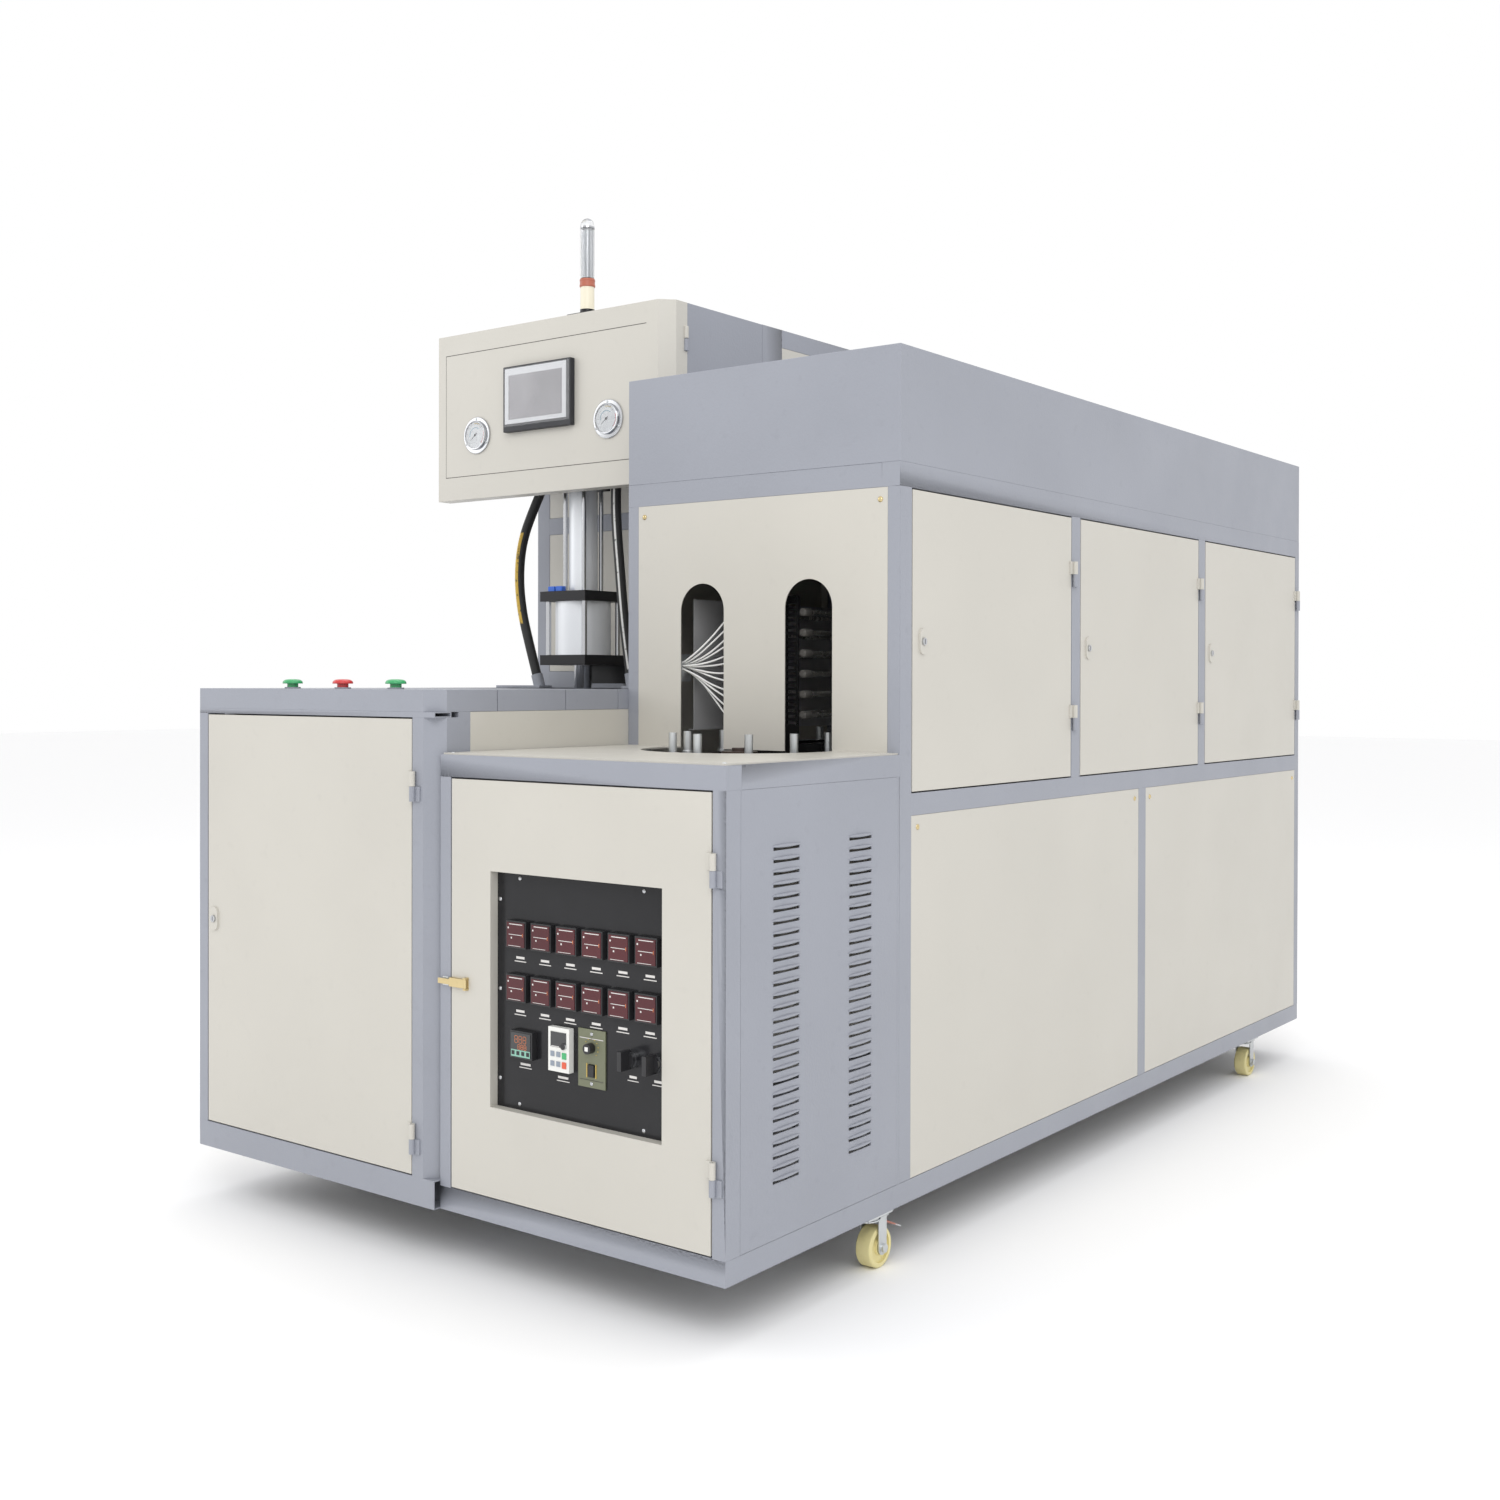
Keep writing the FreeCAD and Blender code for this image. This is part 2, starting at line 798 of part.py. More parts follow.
def control_door():
    """Front door of the low cabinet, with the sunk window of the control panel."""
    gap = s.door_gap
    low = under + s.bottom_rail + gap
    width = s.heater_width - (s.narrow_post + gap) * 2
    height = s.table_height - s.table_sheet - s.tube - s.bottom_rail - gap * 2
    leaf = pan(1, -1, door_left + gap, front, low, width, s.pan_depth, height)
    wall = s.sheet_wall
    window_width = s.window_right - s.window_left
    window_height = s.window_high - s.window_low
    x = left + s.window_left
    z = under + s.window_low
    window = block(x, front, z, window_width, s.panel_recess, window_height)
    collar = block(x - wall, front, z - wall,
                   window_width + wall * 2, s.panel_recess, window_height + wall * 2)
    pieces = [cut(fuse(leaf, collar), window)]
    for height_above in (s.control_hinge_low, s.control_hinge_high):
        pieces.append(hinge("front", front, door_right - gap, under + height_above)[0])
    pieces.append(latch_base())
    node("control_door", *pieces)


def latch_pivot():
    return door_left + s.latch_lever, front - s.leaf_wall - s.latch_wall


def latch_base():
    """Plate on the door with two ears and the pin of the toggle lever."""
    pivot_x, pivot_y = latch_pivot()
    z = under + s.latch_height
    half = s.latch_width / 2
    ear = s.latch_wall
    length = s.latch_lever
    plate = block(door_left + s.door_gap, front - ear + s.pin_play, z - half,
                  length, ear - s.pin_play, s.latch_width)
    pieces = [plate]
    for low in (z - half - ear - s.running_gap, z + half + s.running_gap):
        pieces.append(block(pivot_x - ear, pivot_y - ear, low, ear * 2, front - pivot_y + ear, ear))
    pieces.append(rod(2, pivot_x, pivot_y, z - half - ear, s.latch_pin, s.latch_width + ear * 2))
    return fuse(*pieces)


def door_latch():
    """Toggle lever and the hook that lies over the keeper."""
    pivot_x, pivot_y = latch_pivot()
    z = under + s.latch_height - s.latch_width / 2
    ear = s.latch_wall
    lever = block(door_left + s.door_gap, pivot_y - ear / 2, z,
                  s.latch_lever - s.door_gap, ear, s.latch_width)
    knuckle = rod(2, pivot_x, pivot_y, z, ear, s.latch_width)
    hook = block(door_left - s.latch_hook, pivot_y - ear / 2, z + ear,
                 s.latch_hook + s.latch_wall * 2, ear / 2, s.latch_width - ear * 2)
    bore = rod(2, pivot_x, pivot_y, z, s.latch_pin + s.pin_play, s.latch_width)
    node("door_latch", cut(fuse(lever, knuckle, hook), bore))


gauge_columns = 6
selector_count = 2


def gauge_places():
    for row in (s.gauge_row_high, s.gauge_row_low):
        for i in range(gauge_columns):
            yield left + s.gauge_first + s.gauge_pitch * i, under + row


def instrument_places():
    """Corner and size of each rectangular instrument and how far its rim stands out."""
    for x, z in gauge_places():
        yield x, z, s.gauge_case, s.gauge_case, s.gauge_proud
    yield (left + s.meter_left, under + s.meter_low,
           s.meter_width, s.meter_height, s.gauge_proud)
    yield (left + s.keypad_left, under + s.keypad_low,
           s.keypad_width, s.keypad_height, s.gauge_proud)
    yield (left + s.speed_left, under + s.speed_low,
           s.speed_width, s.speed_height, s.speed_proud)


def selector_places():
    for i in range(selector_count):
        yield left + s.selector_first + s.selector_pitch * i, under + s.selector_height


def control_panel():
    """Sheet behind the window, cut out for the instruments and switches."""
    margin = s.panel_margin
    y = front + s.panel_recess
    sheet_metal = block(left + s.window_left - margin, y, under + s.window_low - margin,
                        s.window_right - s.window_left + margin * 2, s.panel_wall,
                        s.window_high - s.window_low + margin * 2)
    rim = s.tube_wall
    tools = [block(x + rim, y, z + rim, dx - rim * 2, s.panel_wall, dz - rim * 2)
             for x, z, dx, dz, _ in instrument_places()]
    tools += [rod(1, x, y, z, s.selector_shaft + s.running_gap, s.panel_wall)
              for x, z in selector_places()]
    node("control_panel", cut(sheet_metal, compound(tools)))


def panel_instruments():
    y = front + s.panel_recess
    wall_in = s.tube_wall + s.panel_gap
    pieces = []
    for x, z, dx, dz, proud in instrument_places():
        rim = block(x, y - proud, z, dx, proud, dz)
        body = block(x + wall_in, y, z + wall_in, dx - wall_in * 2, s.gauge_body, dz - wall_in * 2)
        pieces.append(fuse(rim, body))
    speed = pieces.pop()
    knob_x = left + s.speed_left + s.speed_width / 2
    shaft = rod(1, knob_x, y - s.speed_proud, under + s.speed_knob_height,
                s.pin_radius + s.running_gap, s.knob_shaft)
    width = s.rocker_width + s.running_gap * 2
    height = s.rocker_height + s.rocker_play * 2
    pocket = block(knob_x - width / 2, y - s.speed_proud, under + s.rocker_centre - height / 2,
                   width, s.rocker_depth + s.rocker_play * 2, height)
    pieces.append(cut(speed, shaft, pocket))
    for x, z in selector_places():
        half = s.selector_radius
        switch = block(x - half, y + s.panel_wall, z - half, half * 2, s.gauge_body, half * 2)
        pieces.append(cut(switch, rod(1, x, y + s.panel_wall, z,
                                      s.selector_shaft + s.running_gap, s.knob_shaft)))
    node("panel_instruments", *pieces)


def selector(label, x, z):
    """Round base with a raised grip, on a shaft through the panel."""
    y = front + s.panel_recess
    rim = y - s.running_gap
    base = rod(1, x, rim - s.selector_base, z, s.selector_radius, s.selector_base)
    grip = block(x - s.grip_width / 2, y - s.selector_proud, z - s.selector_radius,
                 s.grip_width, s.selector_proud - s.selector_base, s.selector_radius * 2)
    boss = rod(1, x, y - s.selector_proud, z,
               s.selector_radius - s.tube_wall, s.selector_proud - s.selector_base)
    shaft = rod(1, x, rim, z, s.selector_shaft, s.panel_wall + s.knob_shaft - s.tube_wall)
    side = s.selector_radius * 2
    trims = [block(x + (s.grip_width / 2 if sign > 0 else -s.grip_width / 2 - side),
                   y - s.selector_proud, z - side, side, s.selector_grip, side * 2)
             for sign in (-1, 1)]
    node(label, fuse(base, cut(boss, *trims), cut(grip, *trims), shaft))


def speed_knob():
    face = front + s.panel_recess - s.speed_proud
    x = left + s.speed_left + s.speed_width / 2
    z = under + s.speed_knob_height
    knob = rod(1, x, face - s.running_gap - s.speed_knob_length, z,
               s.speed_knob_radius, s.speed_knob_length)
    shaft = rod(1, x, face - s.running_gap, z, s.pin_radius, s.knob_shaft - s.tube_wall)
    node("speed_knob", fuse(knob, shaft))


def fan_rocker():
    face = front + s.panel_recess - s.speed_proud
    x = left + s.speed_left + s.speed_width / 2
    z = under + s.rocker_centre
    body = block(x - s.rocker_width / 2, face - s.rocker_frame, z - s.rocker_height / 2,
                 s.rocker_width, s.rocker_frame + s.rocker_depth, s.rocker_height)
    reach = s.rocker_width / 2 + s.rocker_pin_proud
    pin = rod(0, x - reach, face + (s.rocker_depth - s.rocker_frame) / 2, z,
              s.rocker_pin, reach * 2)
    node("fan_rocker", fuse(body, pin))


def oven_doors():
    for number, bay in enumerate(door_bays, 1):
        y = front + bay[0] + s.door_gap
        leaf = pan(0, 1, right - s.pan_depth, y, door_low,
                   s.pan_depth, bay[1] - bay[0] - s.door_gap * 2, door_height)
        lock_y = front + bay[0] + s.lock_inset
        lock_z = under + s.oven_lock_height
        hole = rod(0, right - s.sheet_wall, lock_y, lock_z,
                   s.lock_insert_radius + s.running_gap, s.sheet_wall)
        pieces = [cut(leaf, hole), lock_plate(0, right, lock_y, lock_z)]
        for z in (s.oven_hinge_low, s.oven_hinge_high):
            pieces.append(hinge("side", right, door_edge(bay), under + z)[0])
        node(f"oven_door_{number}", *pieces)
        side_lock(f"oven_lock_{number}", right, lock_y, lock_z)


# Conveyor and lamps inside the oven.

def chain_strip(radius_out, radius_in, y, sign):
    """Half of a flat ring round one end of the conveyor."""
    low = under + s.chain_level
    ring = pipe(2, conveyor_x, y, low, radius_out, radius_in, s.chain_height)
    half = block(conveyor_x - radius_out, y if sign > 0 else y - radius_out, low,
                 radius_out * 2, radius_out, s.chain_height)
    item = doc.addObject("Part::MultiCommon", "HalfRing")
    item.Shapes = [ring, half]
    return item


def conveyor_chain():
    low = under + s.chain_level
    inner = s.conveyor_radius - s.chain_width / 2
    outer = s.conveyor_radius + s.chain_width / 2
    start = front + s.conveyor_front
    end = front + s.conveyor_back
    pieces = [block(conveyor_x + offset, start, low, s.chain_width, end - start, s.chain_height)
              for offset in (inner, -outer)]
    pieces.append(chain_strip(outer, inner, start, -1))
    pieces.append(chain_strip(outer, inner, end, 1))
    node("conveyor_chain", *pieces)


def holder_places():
    """Places along the chain: both straights, then both turns."""
    reach = plain(s.conveyor_back - s.conveyor_front)
    pitch = plain(s.holder_pitch)
    count = int(reach // pitch)
    for i in range(count + 1):
        y = front + s.conveyor_front + s.holder_pitch * i
        yield conveyor_x + s.conveyor_radius, y
        yield conveyor_x - s.conveyor_radius, y
    turns = int(math.pi * plain(s.conveyor_radius) // pitch)
    for end, sign in ((s.conveyor_front, -1), (s.conveyor_back, 1)):
        for i in range(1, turns + 1):
            angle = math.pi * i / (turns + 1)
            yield (conveyor_x + s.conveyor_radius * round(math.cos(angle), 6),
                   front + end + s.conveyor_radius * round(sign * math.sin(angle), 6))


def preform_holders():
    """Turned mandrels that stand on the chain and carry the preforms."""
    low = under + s.chain_level + s.chain_height
    pieces = []
    for x, y in holder_places():
        foot = rod(2, x, y, low, s.holder_foot_radius, s.holder_foot)
        stem = rod(2, x, y, low + s.holder_foot, s.holder_radius,
                   s.holder_height - s.holder_foot)
        pieces.append(fuse(foot, stem))
    node("preform_holders", *pieces)


def conveyor_drive():
    """Bearings and gear motor, chain guide rails, and the round shoe at the far end."""
    beam_top = under + s.chain_level - s.bearing_height
    y = front + s.conveyor_front
    far = front + s.conveyor_back
    bore = s.shaft_radius + s.pin_play
    bearing = pipe(2, conveyor_x, y, beam_top, s.bearing_radius, bore,
                   s.bearing_height - s.running_gap)
    shoe_radius = s.conveyor_radius - s.chain_width / 2 - s.chain_play
    shoe = rod(2, conveyor_x, far, under + s.chain_level - s.rail_wall, shoe_radius,
               s.chain_height)
    post = rod(2, conveyor_x, far, beam_top, s.bearing_radius, s.bearing_height - s.rail_wall)
    pieces = [bearing, fuse(shoe, post)]
    for sign in (-1, 1):
        x = conveyor_x + s.conveyor_radius * sign - s.rail_width / 2
        pieces.append(block(x, y, beam_top, s.rail_width, far - y, s.bearing_height))
    motor_top = beam_top - s.conveyor_beam_height
    gear = block(conveyor_x - s.motor_radius, y - s.motor_radius,
                 motor_top - s.motor_radius * 2, s.motor_radius * 2, s.motor_radius * 2,
                 s.motor_radius * 2)
    motor = rod(1, conveyor_x, y + s.motor_radius, motor_top - s.motor_radius,
                s.motor_radius, s.motor_length)
    pieces.append(fuse(gear, motor))
    node("conveyor_drive", *pieces)


def drive_sprocket():
    """Toothless disc, hub and shaft; the chain's rollers run on its rim."""
    low = under + s.chain_level
    y = front + s.conveyor_front
    radius = s.conveyor_radius - s.chain_width / 2 - s.chain_play
    disc = rod(2, conveyor_x, y, low, radius, s.sprocket_wall)
    hub = rod(2, conveyor_x, y, low + s.sprocket_wall, s.bearing_radius, s.sprocket_wall)
    shaft = rod(2, conveyor_x, y, low - s.bearing_height + s.running_gap, s.shaft_radius,
                s.bearing_height + s.sprocket_wall * 2 + s.holder_foot)
    hole_pitch = radius * 2 / 3
    holes = [rod(2, conveyor_x + hole_pitch * dx, y + hole_pitch * dy, low,
                 s.bearing_radius / 2, s.sprocket_wall)
             for dx, dy in ((1, 0), (-1, 0), (0, 1), (0, -1))]
    node("drive_sprocket", fuse(cut(disc, *holes), hub, shaft))


def rack_sides():
    """Outer face of each lamp rack and the way it looks."""
    yield left + s.rack_left, -1
    yield left + s.rack_right, 1


def rack_strip(x, y):
    """Slotted end strip of a rack and the foot that it stands on."""
    low = under + s.rack_low
    strip = block(x, y, low, s.rack_width, s.rack_wall, s.rack_high - s.rack_low)
    slots = [block(x + (s.rack_width - s.slot_width) / 2, y,
                   low + s.slot_first + s.slot_pitch * i,
                   s.slot_width, s.rack_wall, s.slot_height)
             for i in range(slot_count)]
    foot_low = under + s.chain_level + s.chain_height + s.rack_rail
    yield cut(strip, compound(slots))
    yield block(x, y, foot_low, s.rack_width, s.rack_wall, low - foot_low)


def rack_supports(x):
    """Long rail under one rack, its leg on the middle beam and its pad on the far shoe."""
    low = under + s.chain_level + s.chain_height
    beam_top = under + s.chain_level - s.bearing_height
    shoe_top = low - s.rail_wall
    yield block(x, front + s.rack_first, low, s.rack_width,
                s.rack_last + s.rack_wall - s.rack_first, s.rack_rail)
    yield block(x, front + s.lower_post - s.tube / 2, beam_top, s.rack_width, s.tube,
                low - beam_top)
    yield block(x, front + s.conveyor_back - s.tube / 2, shoe_top, s.rack_width, s.tube,
                s.rail_wall)


def reflector(face, sign):
    """Polished sheet facing a rack, its lip, and the legs that hold the lip on the beams."""
    low = under + s.rack_low
    length = s.rack_last - s.rack_first
    x = face + s.arch_width * sign
    sheet_x = x if sign > 0 else x - s.reflector_wall
    lip_x = x if sign > 0 else x - s.reflector_lip
    lip_low = low - s.reflector_wall
    beam_top = under + s.chain_level - s.bearing_height
    yield fuse(block(sheet_x, front + s.rack_first, low, s.reflector_wall, length,
                     s.rack_high - s.rack_low),
               block(lip_x, front + s.rack_first, lip_low, s.reflector_lip, length,
                     s.reflector_wall))
    for y in (s.lower_post, s.conveyor_back):
        yield block(lip_x, front + y - s.tube / 2, beam_top, s.reflector_lip, s.tube,
                    lip_low - beam_top)


def lamp_racks():
    """Both racks on their rails, the reflectors, and the clip that the leads come out of."""
    pieces = []
    y_places = (s.rack_first, (s.rack_first + s.rack_last) / 2, s.rack_last)
    for face, sign in rack_sides():
        x = face if sign < 0 else face - s.rack_width
        for y in y_places:
            pieces += rack_strip(x, front + y)
        pieces += rack_supports(x)
        pieces += reflector(face, sign)
    inner = s.rack_left + s.rack_width
    for y in y_places:
        pieces.append(block(left + inner, front + y, under + s.chain_level + s.chain_height,
                            s.rack_right - s.rack_width - inner, s.rack_wall, s.rack_rail))
    pieces.append(block(left + s.clip_left, oven + s.sheet_wall, under + s.clip_low,
                        s.clip_width, s.clip_depth, s.clip_height))
    node("lamp_racks", *pieces)


slot_count = 20
lamp_rows = 6


def heat_lamps():
    """Quartz tubes between the end strips, with a ceramic cap at each end."""
    pieces = []
    middle = (s.rack_first + s.rack_last) / 2
    for face, sign in rack_sides():
        x = face + (s.lamp_end_radius + s.running_gap) * sign
        for start, end in ((s.rack_first, middle), (middle, s.rack_last)):
            for i in range(lamp_rows):
                z = under + s.rack_low + s.lamp_first + s.lamp_pitch * i
                y = front + start + s.rack_wall + s.running_gap
                length = end - start - s.rack_wall - s.running_gap * 2
                cap = s.lamp_end_length
                pieces.append(fuse(
                    rod(1, x, y, z, s.lamp_end_radius, cap),
                    rod(1, x, y + cap, z, s.lamp_radius, length - cap * 2),
                    rod(1, x, y + length - cap, z, s.lamp_end_radius, cap)))
    node("heat_lamps", *pieces)


def tangent_wire(points, radius):
    """Round bar along straight runs joined by tangent arcs; prints its tightest bend."""
    runs = [(b - a) for a, b in zip(points, points[1:])]
    edges = []
    start = points[0]
    bends = []
    for i, corner in enumerate(points[1:-1]):
        before = FreeCAD.Vector(runs[i]).normalize()
        after = FreeCAD.Vector(runs[i + 1]).normalize()
        half_turn = before.getAngle(after) / 2
        reach = bend_share * min(runs[i].Length, runs[i + 1].Length)
        bend = reach / math.tan(half_turn)
        bends.append(bend)
        enter = corner - before * reach
        leave = corner + after * reach
        inward = (after - before).normalize()
        middle = corner + inward * (bend / math.cos(half_turn) - bend)
        edges.append(Part.LineSegment(start, enter).toShape())
        edges.append(Part.Arc(enter, middle, leave).toShape())
        start = leave
    edges.append(Part.LineSegment(start, points[-1]).toShape())
    path = Part.Wire(edges)
    ring = Part.Wire(Part.makeCircle(radius, points[0], runs[0]))
    solid = path.makePipeShell([ring], True, False)
    share = solid.Volume / (math.pi * radius ** 2 * path.Length)
    print(f"length {path.Length:.1f} least radius {min(bends):.1f} volume share {share:.4f}")
    return solid


bend_share = 0.45


def shape_node(label, shape):
    item = doc.addObject("Part::Feature", "Shaped")
    item.Shape = shape
    item.Placement = FreeCAD.Placement()
    item.Label = label
    nodes.append(item)


# Lamp leads, from the clip behind the arch's left edge to the end strip. Points are from the
# heater's left side, its front and the frame's underside.
wire_points = (
    ((133, 530, 998), (158, 528, 1009.5), (196, 545, 1048.3), (233.4, 554, 1091.2), (259.2, 557.5, 1106)),
    ((133, 536, 996.4), (158, 537, 1006), (196, 547, 1038.2), (236.5, 554, 1073.1), (264.4, 557.5, 1085)),
    ((133, 542, 994.8), (158, 541, 1000.2), (196, 550, 1022), (234.2, 554, 1052), (260.2, 557.5, 1064)),
    ((133, 548, 993.2), (158, 546, 997.9), (196, 551, 1014.9), (232.3, 554, 1035.4), (265.4, 557.5, 1043)),
    ((133, 530, 991.6), (158, 534, 992.1), (196, 542, 999), (235.8, 554, 1014.5), (259.5, 557.5, 1022)),
    ((133, 536, 990), (158, 539, 989.7), (196, 549, 991.3), (235.4, 554, 997.6), (264.8, 557.5, 1001)),
    ((133, 542, 988.4), (158, 540, 984.1), (196, 552, 976), (234.6, 554, 976.9), (263.4, 557.5, 980)),
    ((133, 548, 986.8), (158, 547, 981.2), (196, 550, 967.4), (233.8, 554, 959.6), (258.7, 557.5, 959)),
    ((133, 530, 985.2), (158, 534, 976.1), (196, 544, 953.1), (236, 554, 939.4), (258.1, 557.5, 938)),
    ((133, 536, 983.6), (158, 539, 974), (196, 545, 946.3), (236.1, 554, 923), (262.1, 557.5, 917)),
    ((133, 542, 982), (158, 544, 969.7), (196, 548, 934.1), (233.6, 554, 903.9), (259.3, 557.5, 896)),
    ((133, 548, 980.4), (158, 552, 966.1), (196, 555, 923.6), (231.3, 554, 885.6), (258.4, 557.5, 875)),
)


def lamp_wires():
    corner = FreeCAD.Vector(plain(left), plain(front), plain(under))
    leads = [tangent_wire([corner + FreeCAD.Vector(*point) for point in points],
                          plain(s.wire_radius)) for points in wire_points]
    shape_node("lamp_wires", Part.Compound(leads))


# Casters.

def fork_top():
    return under - s.caster_plate_wall - s.race_height - s.running_gap


def caster_fork(label, x, y):
    """Swivelling fork: crown under the ball race, two legs, the axle and its nuts."""
    wheel_y = y + s.caster_trail
    gap = s.wheel_width / 2 + s.fork_gap
    top = fork_top()
    crown_low = top - s.fork_wall
    crown = rod(2, x, y, crown_low, s.race_radius + s.fork_wall, s.fork_wall)
    cover = block(x - gap - s.fork_wall, y - s.fork_leg / 2, crown_low,
                  (gap + s.fork_wall) * 2, s.fork_leg + s.caster_trail, s.fork_wall)
    pieces = [crown, cover]
    for low_x in (x - gap - s.fork_wall, x + gap):
        leg = block(low_x, wheel_y - s.fork_foot, s.wheel_radius,
                    s.fork_wall, s.fork_foot * 2, crown_low - s.wheel_radius)
        end = rod(0, low_x, wheel_y, s.wheel_radius, s.fork_foot, s.fork_wall)
        pieces += [leg, end]
    width = (gap + s.fork_wall + s.axle_nut) * 2
    pieces.append(rod(0, x - width / 2, wheel_y, s.wheel_radius, s.axle_radius, width))
    for low_x in (x - width / 2, x + width / 2 - s.axle_nut):
        pieces.append(rod(0, low_x, wheel_y, s.wheel_radius, s.axle_nut_radius, s.axle_nut))
    node(label, fuse(*pieces))


def caster_wheel(label, x, y):
    """Nylon wheel with rounded edges and a hub bored for the axle."""
    half = s.wheel_width / 2
    bore = s.axle_radius + s.pin_play
    edge = s.wheel_edge
    rim = s.wheel_radius - s.wheel_rim
    dish = half - s.wheel_dish
    points = ((bore, -half), (s.wheel_hub, -half), (s.wheel_hub, -dish), (rim, -dish),
              (rim, -half), (s.wheel_radius - edge, -half), (s.wheel_radius, edge - half),
              (s.wheel_radius, half - edge), (s.wheel_radius - edge, half), (rim, half),
              (rim, dish), (s.wheel_hub, dish), (s.wheel_hub, half), (bore, half))
    node(label, turned(axes[0], x, y + s.caster_trail, s.wheel_radius, points))


def brake_pedal(label, x, y):
    """Pressed lever over the wheel, on a cross pin behind the swivel."""
    start = y + s.pedal_start
    z = fork_top() - s.fork_wall - s.pedal_drop
    tread = doc.addObject("Part::Box", "Tread")
    bind(tread, "Length", s.pedal_width)
    bind(tread, "Width", s.pedal_length)
    bind(tread, "Height", s.pedal_wall)
    slope = FreeCAD.Rotation(axes[0], -pedal_slope)
    place(tread, x - s.pedal_width / 2, start, z, slope)
    reach = s.wheel_width / 2 + s.fork_gap - s.running_gap
    pin = rod(0, x - reach, start, z, s.pin_radius, reach * 2)
    node(label, fuse(tread, pin))


pedal_slope = 24


def casters():
    for name, x, y in caster_places():
        caster_fork(f"{name}_fork", x, y)
        caster_wheel(f"{name}_wheel", x, y)
        if name.endswith("front"):
            brake_pedal(f"{name}_pedal", x, y)


# Blowing host.

inner_left = host_left + s.rail
inner_right = host_right - s.rail
inner_width = s.host_width - s.rail * 2
host_top = under + s.host_height
cabinet_top = under + s.cabinet_height
cabinet_front = front + s.opening_back
cover_low = host_top - s.rail


def host_base():
    """Rails and posts round the base; the upper side rails lie behind the panels."""
    rail = s.rail
    low = under + rail
    front_low = under + s.host_door_low
    front_high = under + s.host_door_high
    rear = host_back - rail
    yield tube(0, host_left, host_front, under, s.host_width, rail, s.host_door_low)
    yield tube(0, host_left, host_front, front_high, s.host_width, rail,
               cover_low - front_high)
    for z in (under, cover_low - rail):
        yield tube(0, host_left, rear, z, s.host_width, rail, rail)
    yield tube(2, host_left, host_front, front_low, s.host_door_left, rail,
               s.host_door_high - s.host_door_low)
    edge = s.corner_chamfer
    side = s.corner_post
    yield prism(host_right - side, host_front, front_low,
                ((0, 0), (side - edge, 0), (side, edge), (side, side),
                 (side - s.sheet_wall, side), (side - s.sheet_wall, edge),
                 (side - edge, s.sheet_wall), (0, s.sheet_wall)),
                s.host_door_high - s.host_door_low)
    inset = s.panel_depth + s.panel_gap
    strip = s.post_strip - side
    for x, upper_x in ((host_left, host_left + inset), (inner_right, inner_right - inset)):
        yield tube(1, x, host_front + rail, under, rail, s.host_depth - rail * 2, rail)
        yield tube(2, x, host_front + side, low, rail, strip, cover_low - low)
        yield tube(1, upper_x, host_front + s.post_strip, cover_low - rail, rail,
                   s.host_depth - s.post_strip - rail, rail)
        yield tube(2, x, rear, low, rail, rail, cover_low - rail - low)
        yield tube(1, x, front + s.cover_end, cover_low, rail,
                   host_back - front - s.cover_end, rail)


def host_frame():
    rail = s.rail
    pieces = list(host_base())
    for x in (host_left, inner_right):
        pieces.append(tube(2, x, cabinet_front, host_top, rail, s.upper_post,
                           s.cabinet_height - s.host_height))
        pieces.append(tube(2, x, host_back - rail, host_top, rail, rail,
                           s.cabinet_height - s.host_height))
        pieces.append(tube(1, x, cabinet_front + s.upper_post, cabinet_top - rail, rail,
                           host_back - rail - cabinet_front - s.upper_post, rail))
    for z in (host_top, under + s.cross_rail, cabinet_top - rail):
        pieces.append(tube(0, inner_left, cabinet_front, z, inner_width, rail, rail))
    for z in (host_top, cabinet_top - rail):
        pieces.append(tube(0, inner_left, host_back - rail, z, inner_width, rail, rail))
    for z in (s.host_hinge_low, s.host_hinge_high):
        pieces.append(hinge("front", host_front, host_left + s.host_door_right, under + z)[1])
    node("host_frame", *pieces)


def host_panels():
    """Side, back and top panels of the base and the upper cabinet."""
    gap = s.panel_gap
    depth = s.panel_depth
    low = under + s.rail + gap
    start = host_front + s.post_strip + gap
    length = host_back - s.rail - start - gap
    height = cover_low - low - gap
    back_height = height - s.rail
    upper_start = cabinet_front + s.upper_post + gap
    upper_length = host_back - s.rail - upper_start - gap
    upper_low = host_top + gap
    upper_height = s.cabinet_height - s.rail - s.host_height - gap * 2
    pieces = []
    for x, side in ((host_left, -1), (host_right - depth, 1)):
        pieces.append(pan(0, side, x, start, low, depth, length, height))
        pieces.append(pan(0, side, x, upper_start, upper_low, depth, upper_length, upper_height))
    x = inner_left + gap
    width = inner_width - gap * 2
    pieces.append(pan(1, 1, x, host_back - depth, low, width, depth, back_height))
    pieces.append(pan(1, 1, x, host_back - depth, upper_low + s.rail, width, depth,
                      upper_height - s.rail))
    middle = under + s.cross_rail
    front_bays = ((host_top + s.rail, middle), (middle + s.rail, cabinet_top - s.rail))
    for bay_low, bay_high in front_bays:
        pieces.append(pan(1, -1, x, cabinet_front + gap, bay_low + gap, width, depth,
                          bay_high - bay_low - gap * 2))
    pieces.append(block(inner_left + gap, cabinet_front + s.rail + gap, cabinet_top - s.sheet_wall,
                        width, host_back - cabinet_front - s.rail * 2 - gap * 2, s.sheet_wall))
    node("host_panels", *pieces)


button_count = 3


def button_places():
    for i in range(button_count):
        yield host_left + s.button_first + s.button_pitch * i, front + s.button_depth


